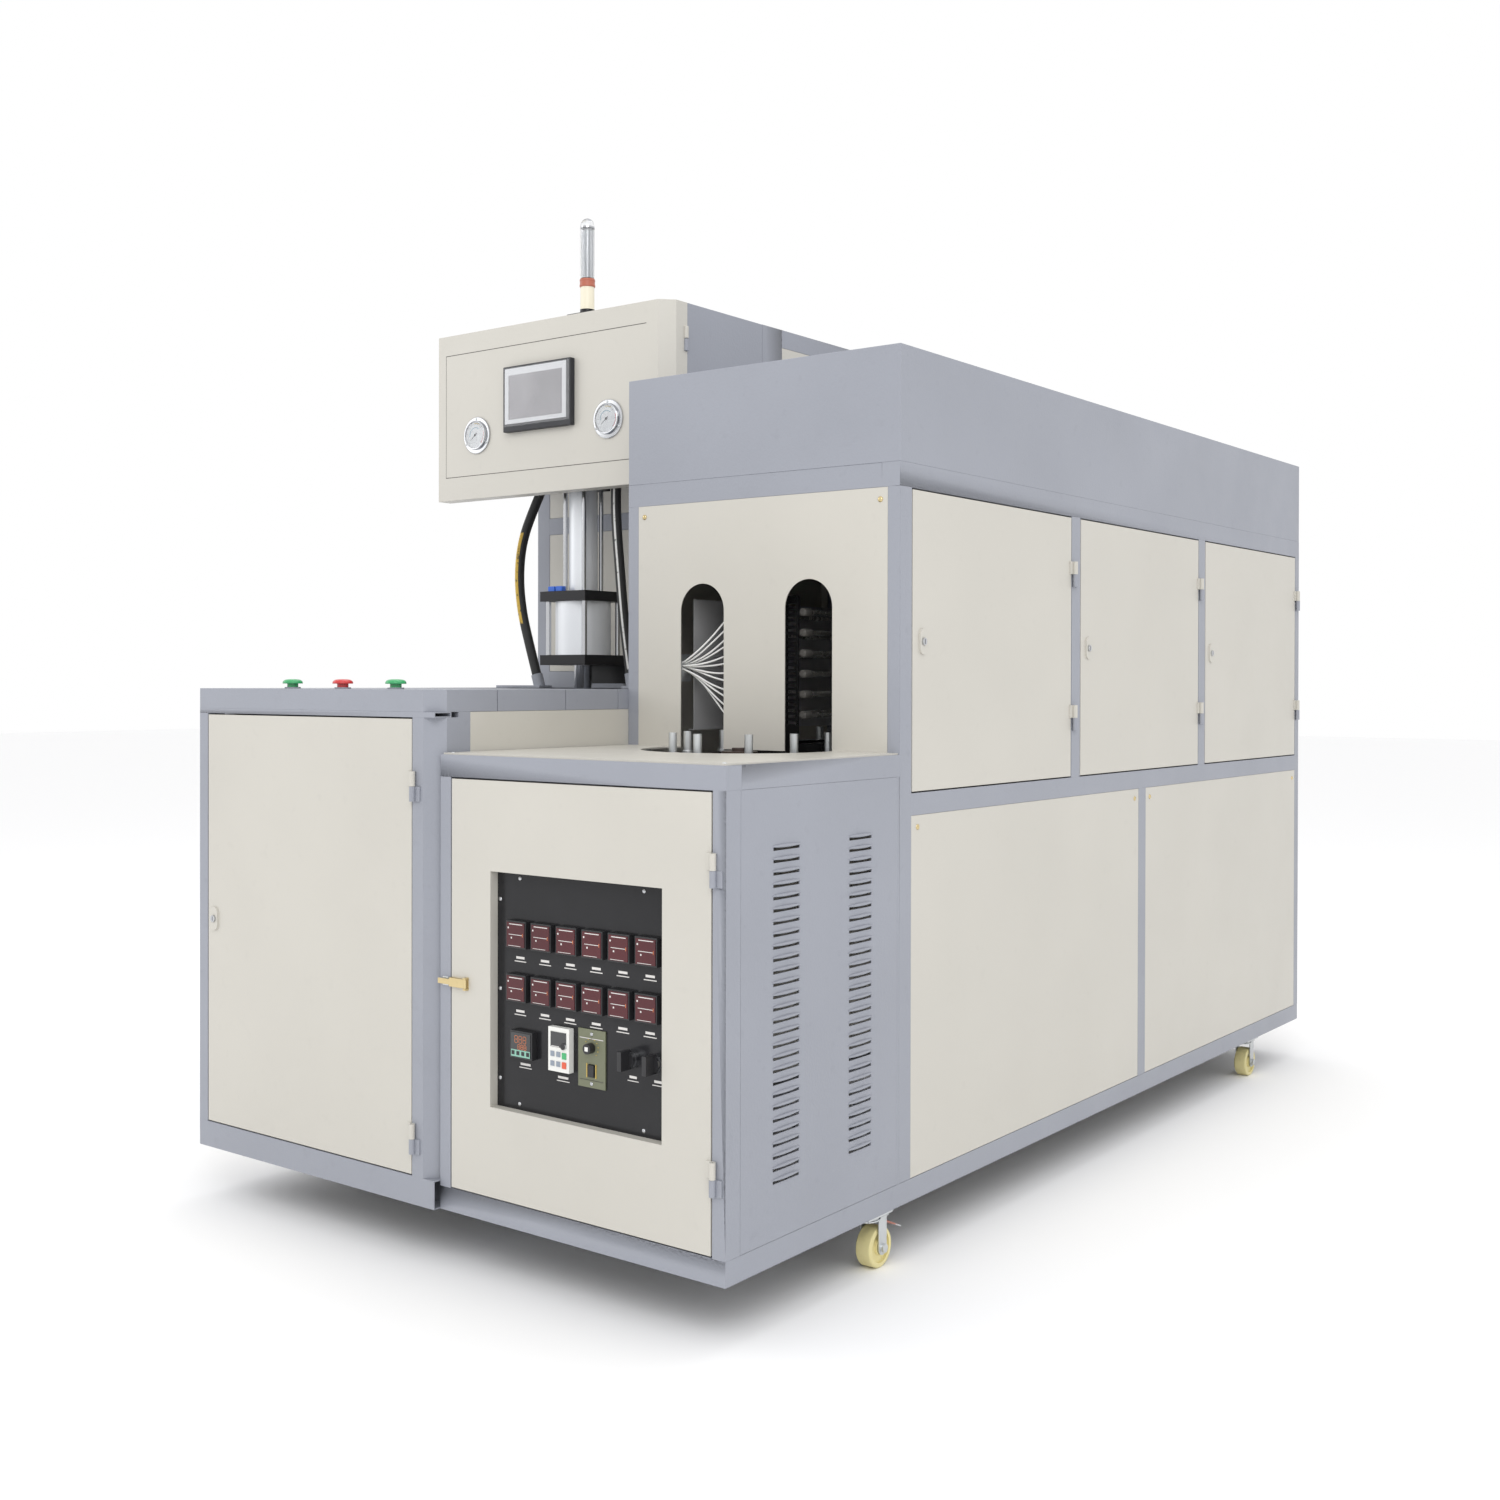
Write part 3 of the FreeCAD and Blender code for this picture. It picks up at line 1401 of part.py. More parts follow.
def table_covers():
    """Folded covers over the front of the base; the first carries the push buttons."""
    seams = (-s.front_step, s.cover_seam_a, s.cover_seam_b, s.cover_seam_c, s.cover_end)
    pieces = []
    edge = s.corner_chamfer
    for i, (start, end) in enumerate(zip(seams, seams[1:])):
        length = end - start - (s.cover_gap if end is not s.cover_end else 0)
        cover = pan(2, 1, host_left, front + start, cover_low, s.host_width, length, s.rail)
        if i == 0:
            corner = prism(host_right - edge, host_front, cover_low,
                           ((0, 0), (edge, 0), (edge, edge)), s.rail)
            holes = [rod(2, x, y, cover_low, s.button_stem + s.running_gap, s.rail)
                     for x, y in button_places()]
            lip = prism(host_right - edge, host_front, cover_low,
                        ((-s.sheet_wall, 0), (0, 0), (edge, edge), (edge, edge + s.sheet_wall)),
                        s.rail)
            cover = cut(fuse(cover, lip), corner, compound(holes))
        pieces.append(cover)
    for x, y in button_places():
        pieces.append(pipe(2, x, y, host_top, s.collar_radius, s.button_stem + s.running_gap,
                           s.collar_height))
    node("table_covers", *pieces)


# Rounded top as shares of its radius and height.
dome_steps = ((1, 0.33), (0.9, 0.67), (0.7, 0.9), (0.4, 1), (0, 1))


def push_button(label, x, y):
    """Mushroom head on a stem that slides in the cover."""
    lift = s.collar_height + s.button_lift
    dome = s.button_dome
    points = [(0, -s.button_stem_length), (s.button_stem, -s.button_stem_length),
              (s.button_stem, lift), (s.button_radius, lift)]
    points += [(s.button_radius * across, lift + dome * up) for across, up in dome_steps]
    node(label, turned(axes[2], x, y, host_top, points))


def push_buttons():
    for label, (x, y) in zip(("left_start_button", "stop_button", "right_start_button"),
                             button_places()):
        push_button(label, x, y)


def host_door():
    gap = s.door_gap
    x = host_left + s.host_door_left + gap
    low = under + s.host_door_low + gap
    width = s.host_door_right - s.host_door_left - gap
    height = s.host_door_high - s.host_door_low - gap * 2
    leaf = pan(1, -1, x, host_front, low, width, s.pan_depth, height)
    lock_x = host_left + s.host_lock
    lock_z = under + s.host_lock_height
    hole = rod(1, lock_x, host_front, lock_z, s.lock_insert_radius + s.running_gap, s.sheet_wall)
    pieces = [cut(leaf, hole), lock_plate(1, lock_x, host_front - s.lock_proud, lock_z)]
    for z in (s.host_hinge_low, s.host_hinge_high):
        pieces.append(hinge("front", host_front, host_left + s.host_door_right, under + z)[0])
    node("host_door", *pieces)
    front_lock("host_door_lock", lock_x, host_front, lock_z)


def levelling_feet():
    pieces = []
    for x in (host_left + s.foot_inset, host_right - s.foot_inset):
        for y in (host_front + s.foot_front, host_front + s.foot_back):
            pieces.append(fuse(rod(2, x, y, 0, s.foot_radius, s.foot_pad),
                               rod(2, x, y, 0, s.stud_radius, under),
                               rod(2, x, y, under - s.nut_height, s.nut_radius, s.nut_height)))
    node("levelling_feet", *pieces)


# Clamp in the base: two platens that meet under the seal cylinder.

def bar_places():
    for side in (-1, 1):
        for z in (s.platen_low + s.bar_inset, s.platen_high - s.bar_inset):
            yield mould_x + (s.platen_width / 2 - s.bar_inset) * side, under + z


def ram_height():
    return under + (s.platen_low + s.platen_high) / 2


def clamp_unit():
    """Bulkheads on the bottom rails, the four bars between them, and both clamp barrels."""
    wall = s.bulkhead_wall
    first = front + s.bulkhead_front
    last = front + s.bulkhead_back
    bore = s.ram_radius + s.pin_play
    z = ram_height()
    pieces = []
    for y in (first, last):
        plate = block(host_left + s.panel_depth + s.panel_gap, y, under + s.rail,
                      s.host_width - (s.panel_depth + s.panel_gap) * 2, wall,
                      s.host_height - s.rail * 3)
        pieces.append(cut(plate, rod(1, mould_x, y, z, bore, wall)))
    for x, bar_z in bar_places():
        pieces.append(rod(1, x, first + wall, bar_z, s.bar_radius, last - first - wall))
    length = s.clamp_barrel_length
    front_start = first - length
    rear_start = last + wall
    for start, cap_start in ((front_start, front_start),
                             (rear_start, rear_start + length - s.clamp_cap)):
        barrel = pipe(1, mould_x, start, z, s.clamp_barrel_radius, s.clamp_barrel_bore, length)
        cap = rod(1, mould_x, cap_start, z, s.clamp_barrel_radius, s.clamp_cap)
        pieces.append(fuse(barrel, cap))
    node("clamp_unit", *pieces)


def platen(label, y, sign):
    """Drilled plate with its ram and piston; the sign points from the mould to the ram."""
    wall = s.platen_wall
    plate = block(mould_x - s.platen_width / 2, y, under + s.platen_low,
                  s.platen_width, wall, s.platen_high - s.platen_low)
    holes = [rod(1, x, y, z, s.bar_radius + s.bore_play, wall) for x, z in bar_places()]
    z = ram_height()
    if sign < 0:
        ram_end = front + s.bulkhead_front - s.clamp_barrel_length + s.clamp_cap * 2
        ram = rod(1, mould_x, ram_end, z, s.ram_radius, y - ram_end)
        piston_y = ram_end
    else:
        ram_end = (front + s.bulkhead_back + s.bulkhead_wall + s.clamp_barrel_length
                   - s.clamp_cap * 2)
        ram = rod(1, mould_x, y + wall, z, s.ram_radius, ram_end - y - wall)
        piston_y = ram_end - s.clamp_piston
    piston = rod(1, mould_x, piston_y, z, s.clamp_barrel_bore - s.bore_play, s.clamp_piston)
    node(label, fuse(cut(plate, *holes), ram, piston))


def platens():
    platen("front_platen", mould_y - s.platen_gap - s.platen_wall, -1)
    platen("rear_platen", mould_y + s.platen_gap, 1)


# Air hoses. Points are from the host's left side, the heater's front and the frame's underside.
left_hose_points = ((147.5, 850, 1443.9), (113, 848, 1385), (74, 846, 1306), (62, 846, 1220),
                    (70, 848, 1134), (93, 850, 1054), (119, 851, 976))
right_hose_points = ((494, 722, 1449.2), (492, 720, 1374), (498, 718, 1294), (507, 718, 1212),
                     (514, 719, 1132), (524, 720, 1054), (537, 721, 978))


def hose_route(points):
    corner = FreeCAD.Vector(plain(host_left), plain(front), plain(under))
    return [corner + FreeCAD.Vector(*point) for point in points]


def hose_fittings():
    """Ferrule on each hose's end, its nut, and the bracket on the side rail that holds it."""
    pieces = []
    for points, side in ((left_hose_points, -1), (right_hose_points, 1)):
        route = hose_route(points)
        end = route[-1]
        run = (end - route[-2]).normalize()
        tip = end + run * plain(s.ferrule_length)
        ferrule = Part.makeCylinder(plain(s.ferrule_radius), plain(s.ferrule_length), end, run)
        nut_side = plain(s.hose_nut)
        bracket_top = plain(host_top)
        nut = Part.makeBox(nut_side, nut_side, tip.z - bracket_top + nut_side / 4,
                           FreeCAD.Vector(tip.x - nut_side / 2, tip.y - nut_side / 2,
                                          bracket_top))
        reach = plain(host_left if side < 0 else host_right)
        near = tip.x - side * nut_side / 2
        width = plain(s.bracket_width)
        wall = plain(s.bracket_wall)
        bracket = Part.makeBox(abs(reach - near), width, wall,
                               FreeCAD.Vector(min(reach, near), tip.y - width / 2,
                                              bracket_top))
        item = doc.addObject("Part::Feature", "Fitting")
        item.Shape = ferrule.fuse([nut, bracket]).removeSplitter()
        pieces.append(item)
    return pieces


# Cylinders over the mould.

def corner_rods(z, pitch, radius, length):
    return [rod(2, mould_x + pitch / 2 * dx, mould_y + pitch / 2 * dy, z, radius, length)
            for dx in (-1, 1) for dy in (-1, 1)]


def square_plate(z, side, wall, bore):
    return cut(block(mould_x - side / 2, mould_y - side / 2, z, side, side, wall),
               rod(2, mould_x, mould_y, z, bore, wall))


def seal_cylinder():
    """Two end plates, barrel and corner rods, on an arm from the cabinet; hose fittings."""
    low = under + s.seal_plate_low
    high = under + s.seal_plate_high
    wall = s.seal_plate_wall
    rod_bore = s.seal_rod_radius + s.bore_play
    tube_low = low + wall
    pieces = [square_plate(low, s.plate_side, wall, rod_bore),
              square_plate(high, s.plate_side, wall, s.stretch_rod_radius + s.bore_play),
              pipe(2, mould_x, mould_y, tube_low, s.barrel_radius, s.barrel_bore,
                   high - tube_low)]
    pieces += corner_rods(tube_low, s.tie_pitch, s.tie_radius, high - tube_low)
    arm_y = mould_y + s.plate_side / 2
    pieces.append(block(mould_x - s.arm_width / 2, arm_y, under + s.arm_low, s.arm_width,
                        cabinet_front - arm_y, s.seal_plate_low + wall - s.arm_low))
    node("seal_cylinder", *pieces, *hose_fittings())


def seal_piston_rod():
    """Hollow rod and piston; the blowing air passes between its bore and the stretch rod."""
    low = under + s.seal_rod_low
    piston_low = under + s.seal_plate_high - s.seal_piston - s.door_gap
    bore = s.blow_bore
    node("seal_piston_rod", cut(
        fuse(rod(2, mould_x, mould_y, low, s.seal_rod_radius, piston_low - low),
             rod(2, mould_x, mould_y, piston_low, s.barrel_bore - s.bore_play, s.seal_piston)),
        rod(2, mould_x, mould_y, low, bore, piston_low - low + s.seal_piston)))


def stretch_cylinder():
    low = under + s.seal_plate_high + s.seal_plate_wall
    high = under + s.stretch_high
    side = s.stretch_tie_pitch + s.stretch_cap
    cap = block(mould_x - side / 2, mould_y - side / 2, high, side, side, s.stretch_cap)
    barrel = pipe(2, mould_x, mould_y, low, s.stretch_radius, s.stretch_bore, high - low)
    bridge_low = high + s.stretch_cap
    bridge = block(mould_x - s.plate_side / 2, mould_y - s.plate_side / 2, bridge_low,
                   s.plate_side, s.plate_side, under + s.head_low - bridge_low)
    ties = corner_rods(low, s.stretch_tie_pitch, s.stretch_tie_radius, high - low)
    node("stretch_cylinder", barrel, cap, bridge, *ties)


def stretch_rod():
    low = under + s.stretch_rod_low
    top = under + s.stretch_high - s.door_gap
    node("stretch_rod", fuse(
        rod(2, mould_x, mould_y, low, s.stretch_rod_radius, top - low),
        rod(2, mould_x, mould_y, top - s.stretch_piston, s.stretch_bore - s.bore_play,
            s.stretch_piston)))


# Head.

def head_box():
    """Sheet box between the cabinet and the lid, open at both ends."""
    y = front + s.lid_front + s.lid_depth
    low = under + s.head_low
    outer = block(host_left, y, low, s.host_width, cabinet_front - y, cabinet_top - low)
    wall = s.head_wall
    inner = block(host_left + wall, y, low + wall, s.host_width - wall * 2,
                  cabinet_front - y, cabinet_top - low - wall * 2)
    node("head_box", cut(outer, inner))


def lid_outline(wall):
    """Lid in plan, from its left front corner, drawn in by a wall; open to the back."""
    edge = s.lid_chamfer
    width = s.host_width
    slant = wall * chamfer_share
    return ((wall, wall), (width - edge - slant, wall), (width - wall, edge + slant),
            (width - wall, s.lid_depth), (wall, s.lid_depth))


chamfer_share = round(math.tan(math.radians(22.5)), 6)


def head_lid():
    y = front + s.lid_front
    low = under + s.lid_low
    height = cabinet_top - low
    wall = s.sheet_wall
    shell = prism(host_left, y, low, lid_outline(wall * 0), height)
    inner = prism(host_left, y, low + wall, lid_outline(wall), height - wall * 2)
    x = host_left + s.screen_left + s.screen_lip
    z = under + s.screen_low + s.screen_lip
    tools = [block(x, y, z, s.screen_width - s.screen_lip * 2, wall,
                   s.screen_height - s.screen_lip * 2)]
    tools += [rod(1, dial_x, y, dial_z, s.dial_body + s.panel_gap, wall)
              for dial_x, dial_z in dial_places()]
    below = block(host_left, y + s.lid_return, low, s.host_width, s.lid_depth - s.lid_return,
                  s.head_low - s.lid_low)
    node("head_lid", cut(shell, inner, below, compound(tools)))


def dial_places():
    for offset in (s.dial_left, s.dial_right):
        yield host_left + offset, under + s.dial_height


def operator_screen():
    y = front + s.lid_front
    x = host_left + s.screen_left
    z = under + s.screen_low
    lip = s.screen_lip + s.panel_gap
    node("operator_screen", fuse(
        block(x, y - s.screen_proud, z, s.screen_width, s.screen_proud, s.screen_height),
        block(x + lip, y, z + lip, s.screen_width - lip * 2, s.screen_body,
              s.screen_height - lip * 2)))


def pressure_gauges():
    y = front + s.lid_front
    points = ((0, s.dial_rim_height), (s.dial_rim, s.dial_rim_height),
              (s.dial_rim, s.dial_flange_wall), (s.dial_flange, s.dial_flange_wall),
              (s.dial_flange, 0), (s.dial_body, 0), (s.dial_body, -s.dial_body_depth),
              (0, -s.dial_body_depth))
    node("pressure_gauges", *[turned(-axes[1], x, y, z, points) for x, z in dial_places()])


def signal_lamp():
    """Bracket plate, tube, ring, clear lens and cap, one on the other."""
    x = host_left + s.signal_x
    y = front + s.signal_y
    z = cabinet_top
    pieces = [block(x - s.signal_plate + s.signal_radius, y - s.signal_plate_depth / 2, z,
                    s.signal_plate, s.signal_plate_depth, s.signal_plate_wall)]
    z = z + s.signal_plate_wall
    for radius, height in ((s.signal_radius, s.signal_tube), (s.signal_ring_radius, s.signal_ring),
                           (s.signal_radius, s.signal_lens)):
        pieces.append(rod(2, x, y, z, radius, height))
        z = z + height
    points = [(0, 0), (s.signal_radius, 0)]
    points += [(s.signal_radius * across, s.signal_cap * up) for across, up in dome_steps]
    dome = turned(axes[2], x, y, z, points)
    node("signal_lamp", *pieces, dome)


def air_hoses():
    for label, points in (("left_hose", left_hose_points), ("right_hose", right_hose_points)):
        shape_node(label, tangent_wire(hose_route(points), plain(s.hose_radius)))


for build in (heater_frame, heater_hood, table_top, oven_front_panel, heater_panels,
              louvre_panels, control_door, door_latch, control_panel, panel_instruments,
              speed_knob, fan_rocker, oven_doors, conveyor_chain, preform_holders,
              conveyor_drive, drive_sprocket, lamp_racks, heat_lamps, lamp_wires, casters,
              host_frame, host_panels, table_covers, push_buttons, host_door, levelling_feet,
              clamp_unit, platens, seal_cylinder, seal_piston_rod, stretch_cylinder,
              stretch_rod, head_box, head_lid, operator_screen, pressure_gauges, signal_lamp,
              air_hoses):
    build()
for label, (x, z) in zip(("left_selector", "right_selector"), selector_places()):
    selector(label, x, z)

doc.recompute()
for item in doc.Objects:
    faults = [state for state in item.State if state in ("Invalid", "Error")]
    if faults:
        raise RuntimeError(f"{item.Name} {item.Label} did not rebuild")
for item in nodes:
    if item.Shape.isNull() or not item.Shape.isValid():
        raise RuntimeError(f"{item.Label} has no valid shape")

os.makedirs("parts", exist_ok=True)
for item in nodes:
    item.Shape.exportStep(f"parts/{item.Label}.step")
    print(item.Label, len(item.Shape.Solids), round(item.Shape.Volume))
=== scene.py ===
import json
import math

import bmesh
import bpy
from mathutils import Matrix, Vector

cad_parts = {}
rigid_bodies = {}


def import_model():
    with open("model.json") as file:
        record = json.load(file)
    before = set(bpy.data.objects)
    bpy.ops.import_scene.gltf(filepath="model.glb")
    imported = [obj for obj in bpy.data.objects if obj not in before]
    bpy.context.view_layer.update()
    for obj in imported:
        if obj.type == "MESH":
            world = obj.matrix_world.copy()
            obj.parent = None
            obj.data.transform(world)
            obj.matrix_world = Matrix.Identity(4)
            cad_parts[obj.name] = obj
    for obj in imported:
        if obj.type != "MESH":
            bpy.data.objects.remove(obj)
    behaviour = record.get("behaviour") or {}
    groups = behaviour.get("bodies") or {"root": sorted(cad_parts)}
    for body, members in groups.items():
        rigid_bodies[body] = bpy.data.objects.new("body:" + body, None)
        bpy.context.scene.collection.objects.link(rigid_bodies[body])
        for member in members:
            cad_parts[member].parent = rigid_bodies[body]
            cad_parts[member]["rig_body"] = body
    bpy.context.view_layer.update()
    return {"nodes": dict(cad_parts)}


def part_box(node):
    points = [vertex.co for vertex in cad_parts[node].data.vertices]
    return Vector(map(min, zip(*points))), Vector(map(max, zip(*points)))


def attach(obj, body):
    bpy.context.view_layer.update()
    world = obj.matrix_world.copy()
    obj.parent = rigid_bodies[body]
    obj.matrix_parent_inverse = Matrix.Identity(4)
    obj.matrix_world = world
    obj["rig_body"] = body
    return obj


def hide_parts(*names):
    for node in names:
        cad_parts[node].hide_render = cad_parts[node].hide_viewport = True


# Bottle blowing machine: the blowing host on the left, the preform heater on the right.
# Metres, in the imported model's own frame: Z up, the operator stands at -Y.

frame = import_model()
print("frame loaded")

# Camera, floor and light.

view = {
    "place": (2.2797, -3.3714, 1.0631),
    "turn": 37.11,
    "tilt": -0.35,
    "roll": 0.12,
    "lens": 39.66,
    "sensor": 36,
    "shiftY": -0.0383,
}
room = {
    "floorSize": 60,
    "floorColour": (0.96, 0.96, 0.965),
    "floorRoughness": 0.9,
    "skyColour": (1.0, 1.0, 1.0),
    "skyStrength": 1.0,
    "lamps": {  # place, aim, size, watts
        "keyLight": ((3.4, -4.6, 4.2), (0.2, 0.0, 1.0), 3.2, 90),
        "leftLight": ((-4.6, -3.8, 3.2), (0.0, -0.4, 1.0), 3.0, 34),
        "topLight": ((0.2, 0.4, 5.6), (0.0, 0.0, 1.2), 4.0, 55),
    },
}

cameraData = bpy.data.cameras.new("camera")
cameraData.lens = view["lens"]
cameraData.sensor_width = view["sensor"]
cameraData.shift_y = view["shiftY"]
camera = bpy.data.objects.new("camera", cameraData)
bpy.context.scene.collection.objects.link(camera)
aim = Matrix.Rotation(math.radians(view["turn"]), 4, "Z")
aim = aim @ Matrix.Rotation(math.radians(90 + view["tilt"]), 4, "X")
aim = aim @ Matrix.Rotation(math.radians(view["roll"]), 4, "Z")
camera.matrix_world = Matrix.Translation(view["place"]) @ aim
bpy.context.scene.camera = camera
bpy.context.scene.view_settings.view_transform = "Standard"


def lightRoom():
    world = bpy.data.worlds.new("room")
    bpy.context.scene.world = world
    world.use_nodes = True
    sky = world.node_tree.nodes["Background"]
    sky.inputs["Color"].default_value = (*room["skyColour"], 1)
    sky.inputs["Strength"].default_value = room["skyStrength"]
    half = room["floorSize"] / 2
    mesh = bpy.data.meshes.new("floor")
    mesh.from_pydata([(-half, -half, 0), (half, -half, 0), (half, half, 0), (-half, half, 0)],
                     [], [(0, 1, 2, 3)])
    floor = bpy.data.objects.new("floor", mesh)
    bpy.context.scene.collection.objects.link(floor)
    mesh.materials.append(plainFinish("floorPaint", room["floorColour"],
                                      room["floorRoughness"]))
    for name, (place, target, size, watts) in room["lamps"].items():
        lamp = bpy.data.lights.new(name, "AREA")
        lamp.shape = "DISK"
        lamp.size = size
        lamp.energy = watts
        item = bpy.data.objects.new(name, lamp)
        item.location = place
        item.rotation_euler = (Vector(target) - Vector(place)).to_track_quat("-Z", "Y").to_euler()
        bpy.context.scene.collection.objects.link(item)


# Finishes.

def newFinish(name):
    material = bpy.data.materials.new(name)
    material.use_nodes = True
    return material, material.node_tree, material.node_tree.nodes["Principled BSDF"]


def setSurface(shader, **values):
    for name, value in values.items():
        label = name.replace("_", " ")
        shader.inputs[label].default_value = value


def plainFinish(name, colour, roughness):
    material, tree, shader = newFinish(name)
    setSurface(shader, Base_Color=(*colour, 1), Roughness=roughness)
    return material


def noiseOn(tree, scale, detail, stretch=(1, 1, 1)):
    place = tree.nodes.new("ShaderNodeTexCoord")
    mapping = tree.nodes.new("ShaderNodeMapping")
    mapping.inputs["Scale"].default_value = stretch
    noise = tree.nodes.new("ShaderNodeTexNoise")
    noise.inputs["Scale"].default_value = scale
    noise.inputs["Detail"].default_value = detail
    tree.links.new(place.outputs["Object"], mapping.inputs["Vector"])
    tree.links.new(mapping.outputs["Vector"], noise.inputs["Vector"])
    return noise.outputs[0]


def spread(tree, value, low, high, toLow, toHigh):
    ramp = tree.nodes.new("ShaderNodeMapRange")
    for socket, number in zip(ramp.inputs[1:5], (low, high, toLow, toHigh)):
        socket.default_value = number
    tree.links.new(value, ramp.inputs[0])
    return ramp.outputs[0]


def twoColours(tree, share, first, second):
    blend = tree.nodes.new("ShaderNodeMix")
    blend.data_type = "RGBA"
    blend.inputs[6].default_value = (*first, 1)
    blend.inputs[7].default_value = (*second, 1)
    tree.links.new(share, blend.inputs[0])
    return blend.outputs[2]


def bumpFrom(tree, shader, height, strength, depth):
    bump = tree.nodes.new("ShaderNodeBump")
    bump.inputs["Strength"].default_value = strength
    bump.inputs["Distance"].default_value = depth
    tree.links.new(height, bump.inputs["Height"])
    tree.links.new(bump.outputs["Normal"], shader.inputs["Normal"])


def shade(colour, factor):
    return tuple(min(1, max(0, part * factor)) for part in colour)


coating = {"cloudScale": 3.5, "wearScale": 38, "wearShade": 0.55, "glossScale": 14,
           "glossRange": (0.88, 1.14), "lacquerRoughness": 0.12}


def coatedFinish(name, colour, roughness, grain, strength, cloud, wear=0.0, depth=0.0006,
                 metal=0.0, stretch=(1, 1, 1), coat=0.0, gleam=0.5):
    # One recipe for paint, plastic and metal: clouded colour, uneven gloss and a fine grain.
    material, tree, shader = newFinish(name)
    setSurface(shader, Metallic=metal, Specular_IOR_Level=gleam)
    if coat:
        setSurface(shader, Coat_Weight=coat, Coat_Roughness=coating["lacquerRoughness"])
    clouds = noiseOn(tree, coating["cloudScale"], 4)
    tint = twoColours(tree, spread(tree, clouds, 0.35, 0.65, 0, 1),
                      shade(colour, 1 - cloud), shade(colour, 1 + cloud))
    if wear:
        grime = spread(tree, noiseOn(tree, coating["wearScale"], 6), 0.62, 0.74, 0, wear)
        dirty = tree.nodes.new("ShaderNodeMix")
        dirty.data_type = "RGBA"
        dirty.inputs[7].default_value = (*shade(colour, coating["wearShade"]), 1)
        tree.links.new(grime, dirty.inputs[0])
        tree.links.new(tint, dirty.inputs[6])
        tint = dirty.outputs[2]
    tree.links.new(tint, shader.inputs["Base Color"])
    smooth, rough = (roughness * part for part in coating["glossRange"])
    gloss = spread(tree, noiseOn(tree, coating["glossScale"], 5), 0.3, 0.7, smooth, rough)
    tree.links.new(gloss, shader.inputs["Roughness"])
    bumpFrom(tree, shader, noiseOn(tree, grain, 3, stretch), strength, depth)
    return material


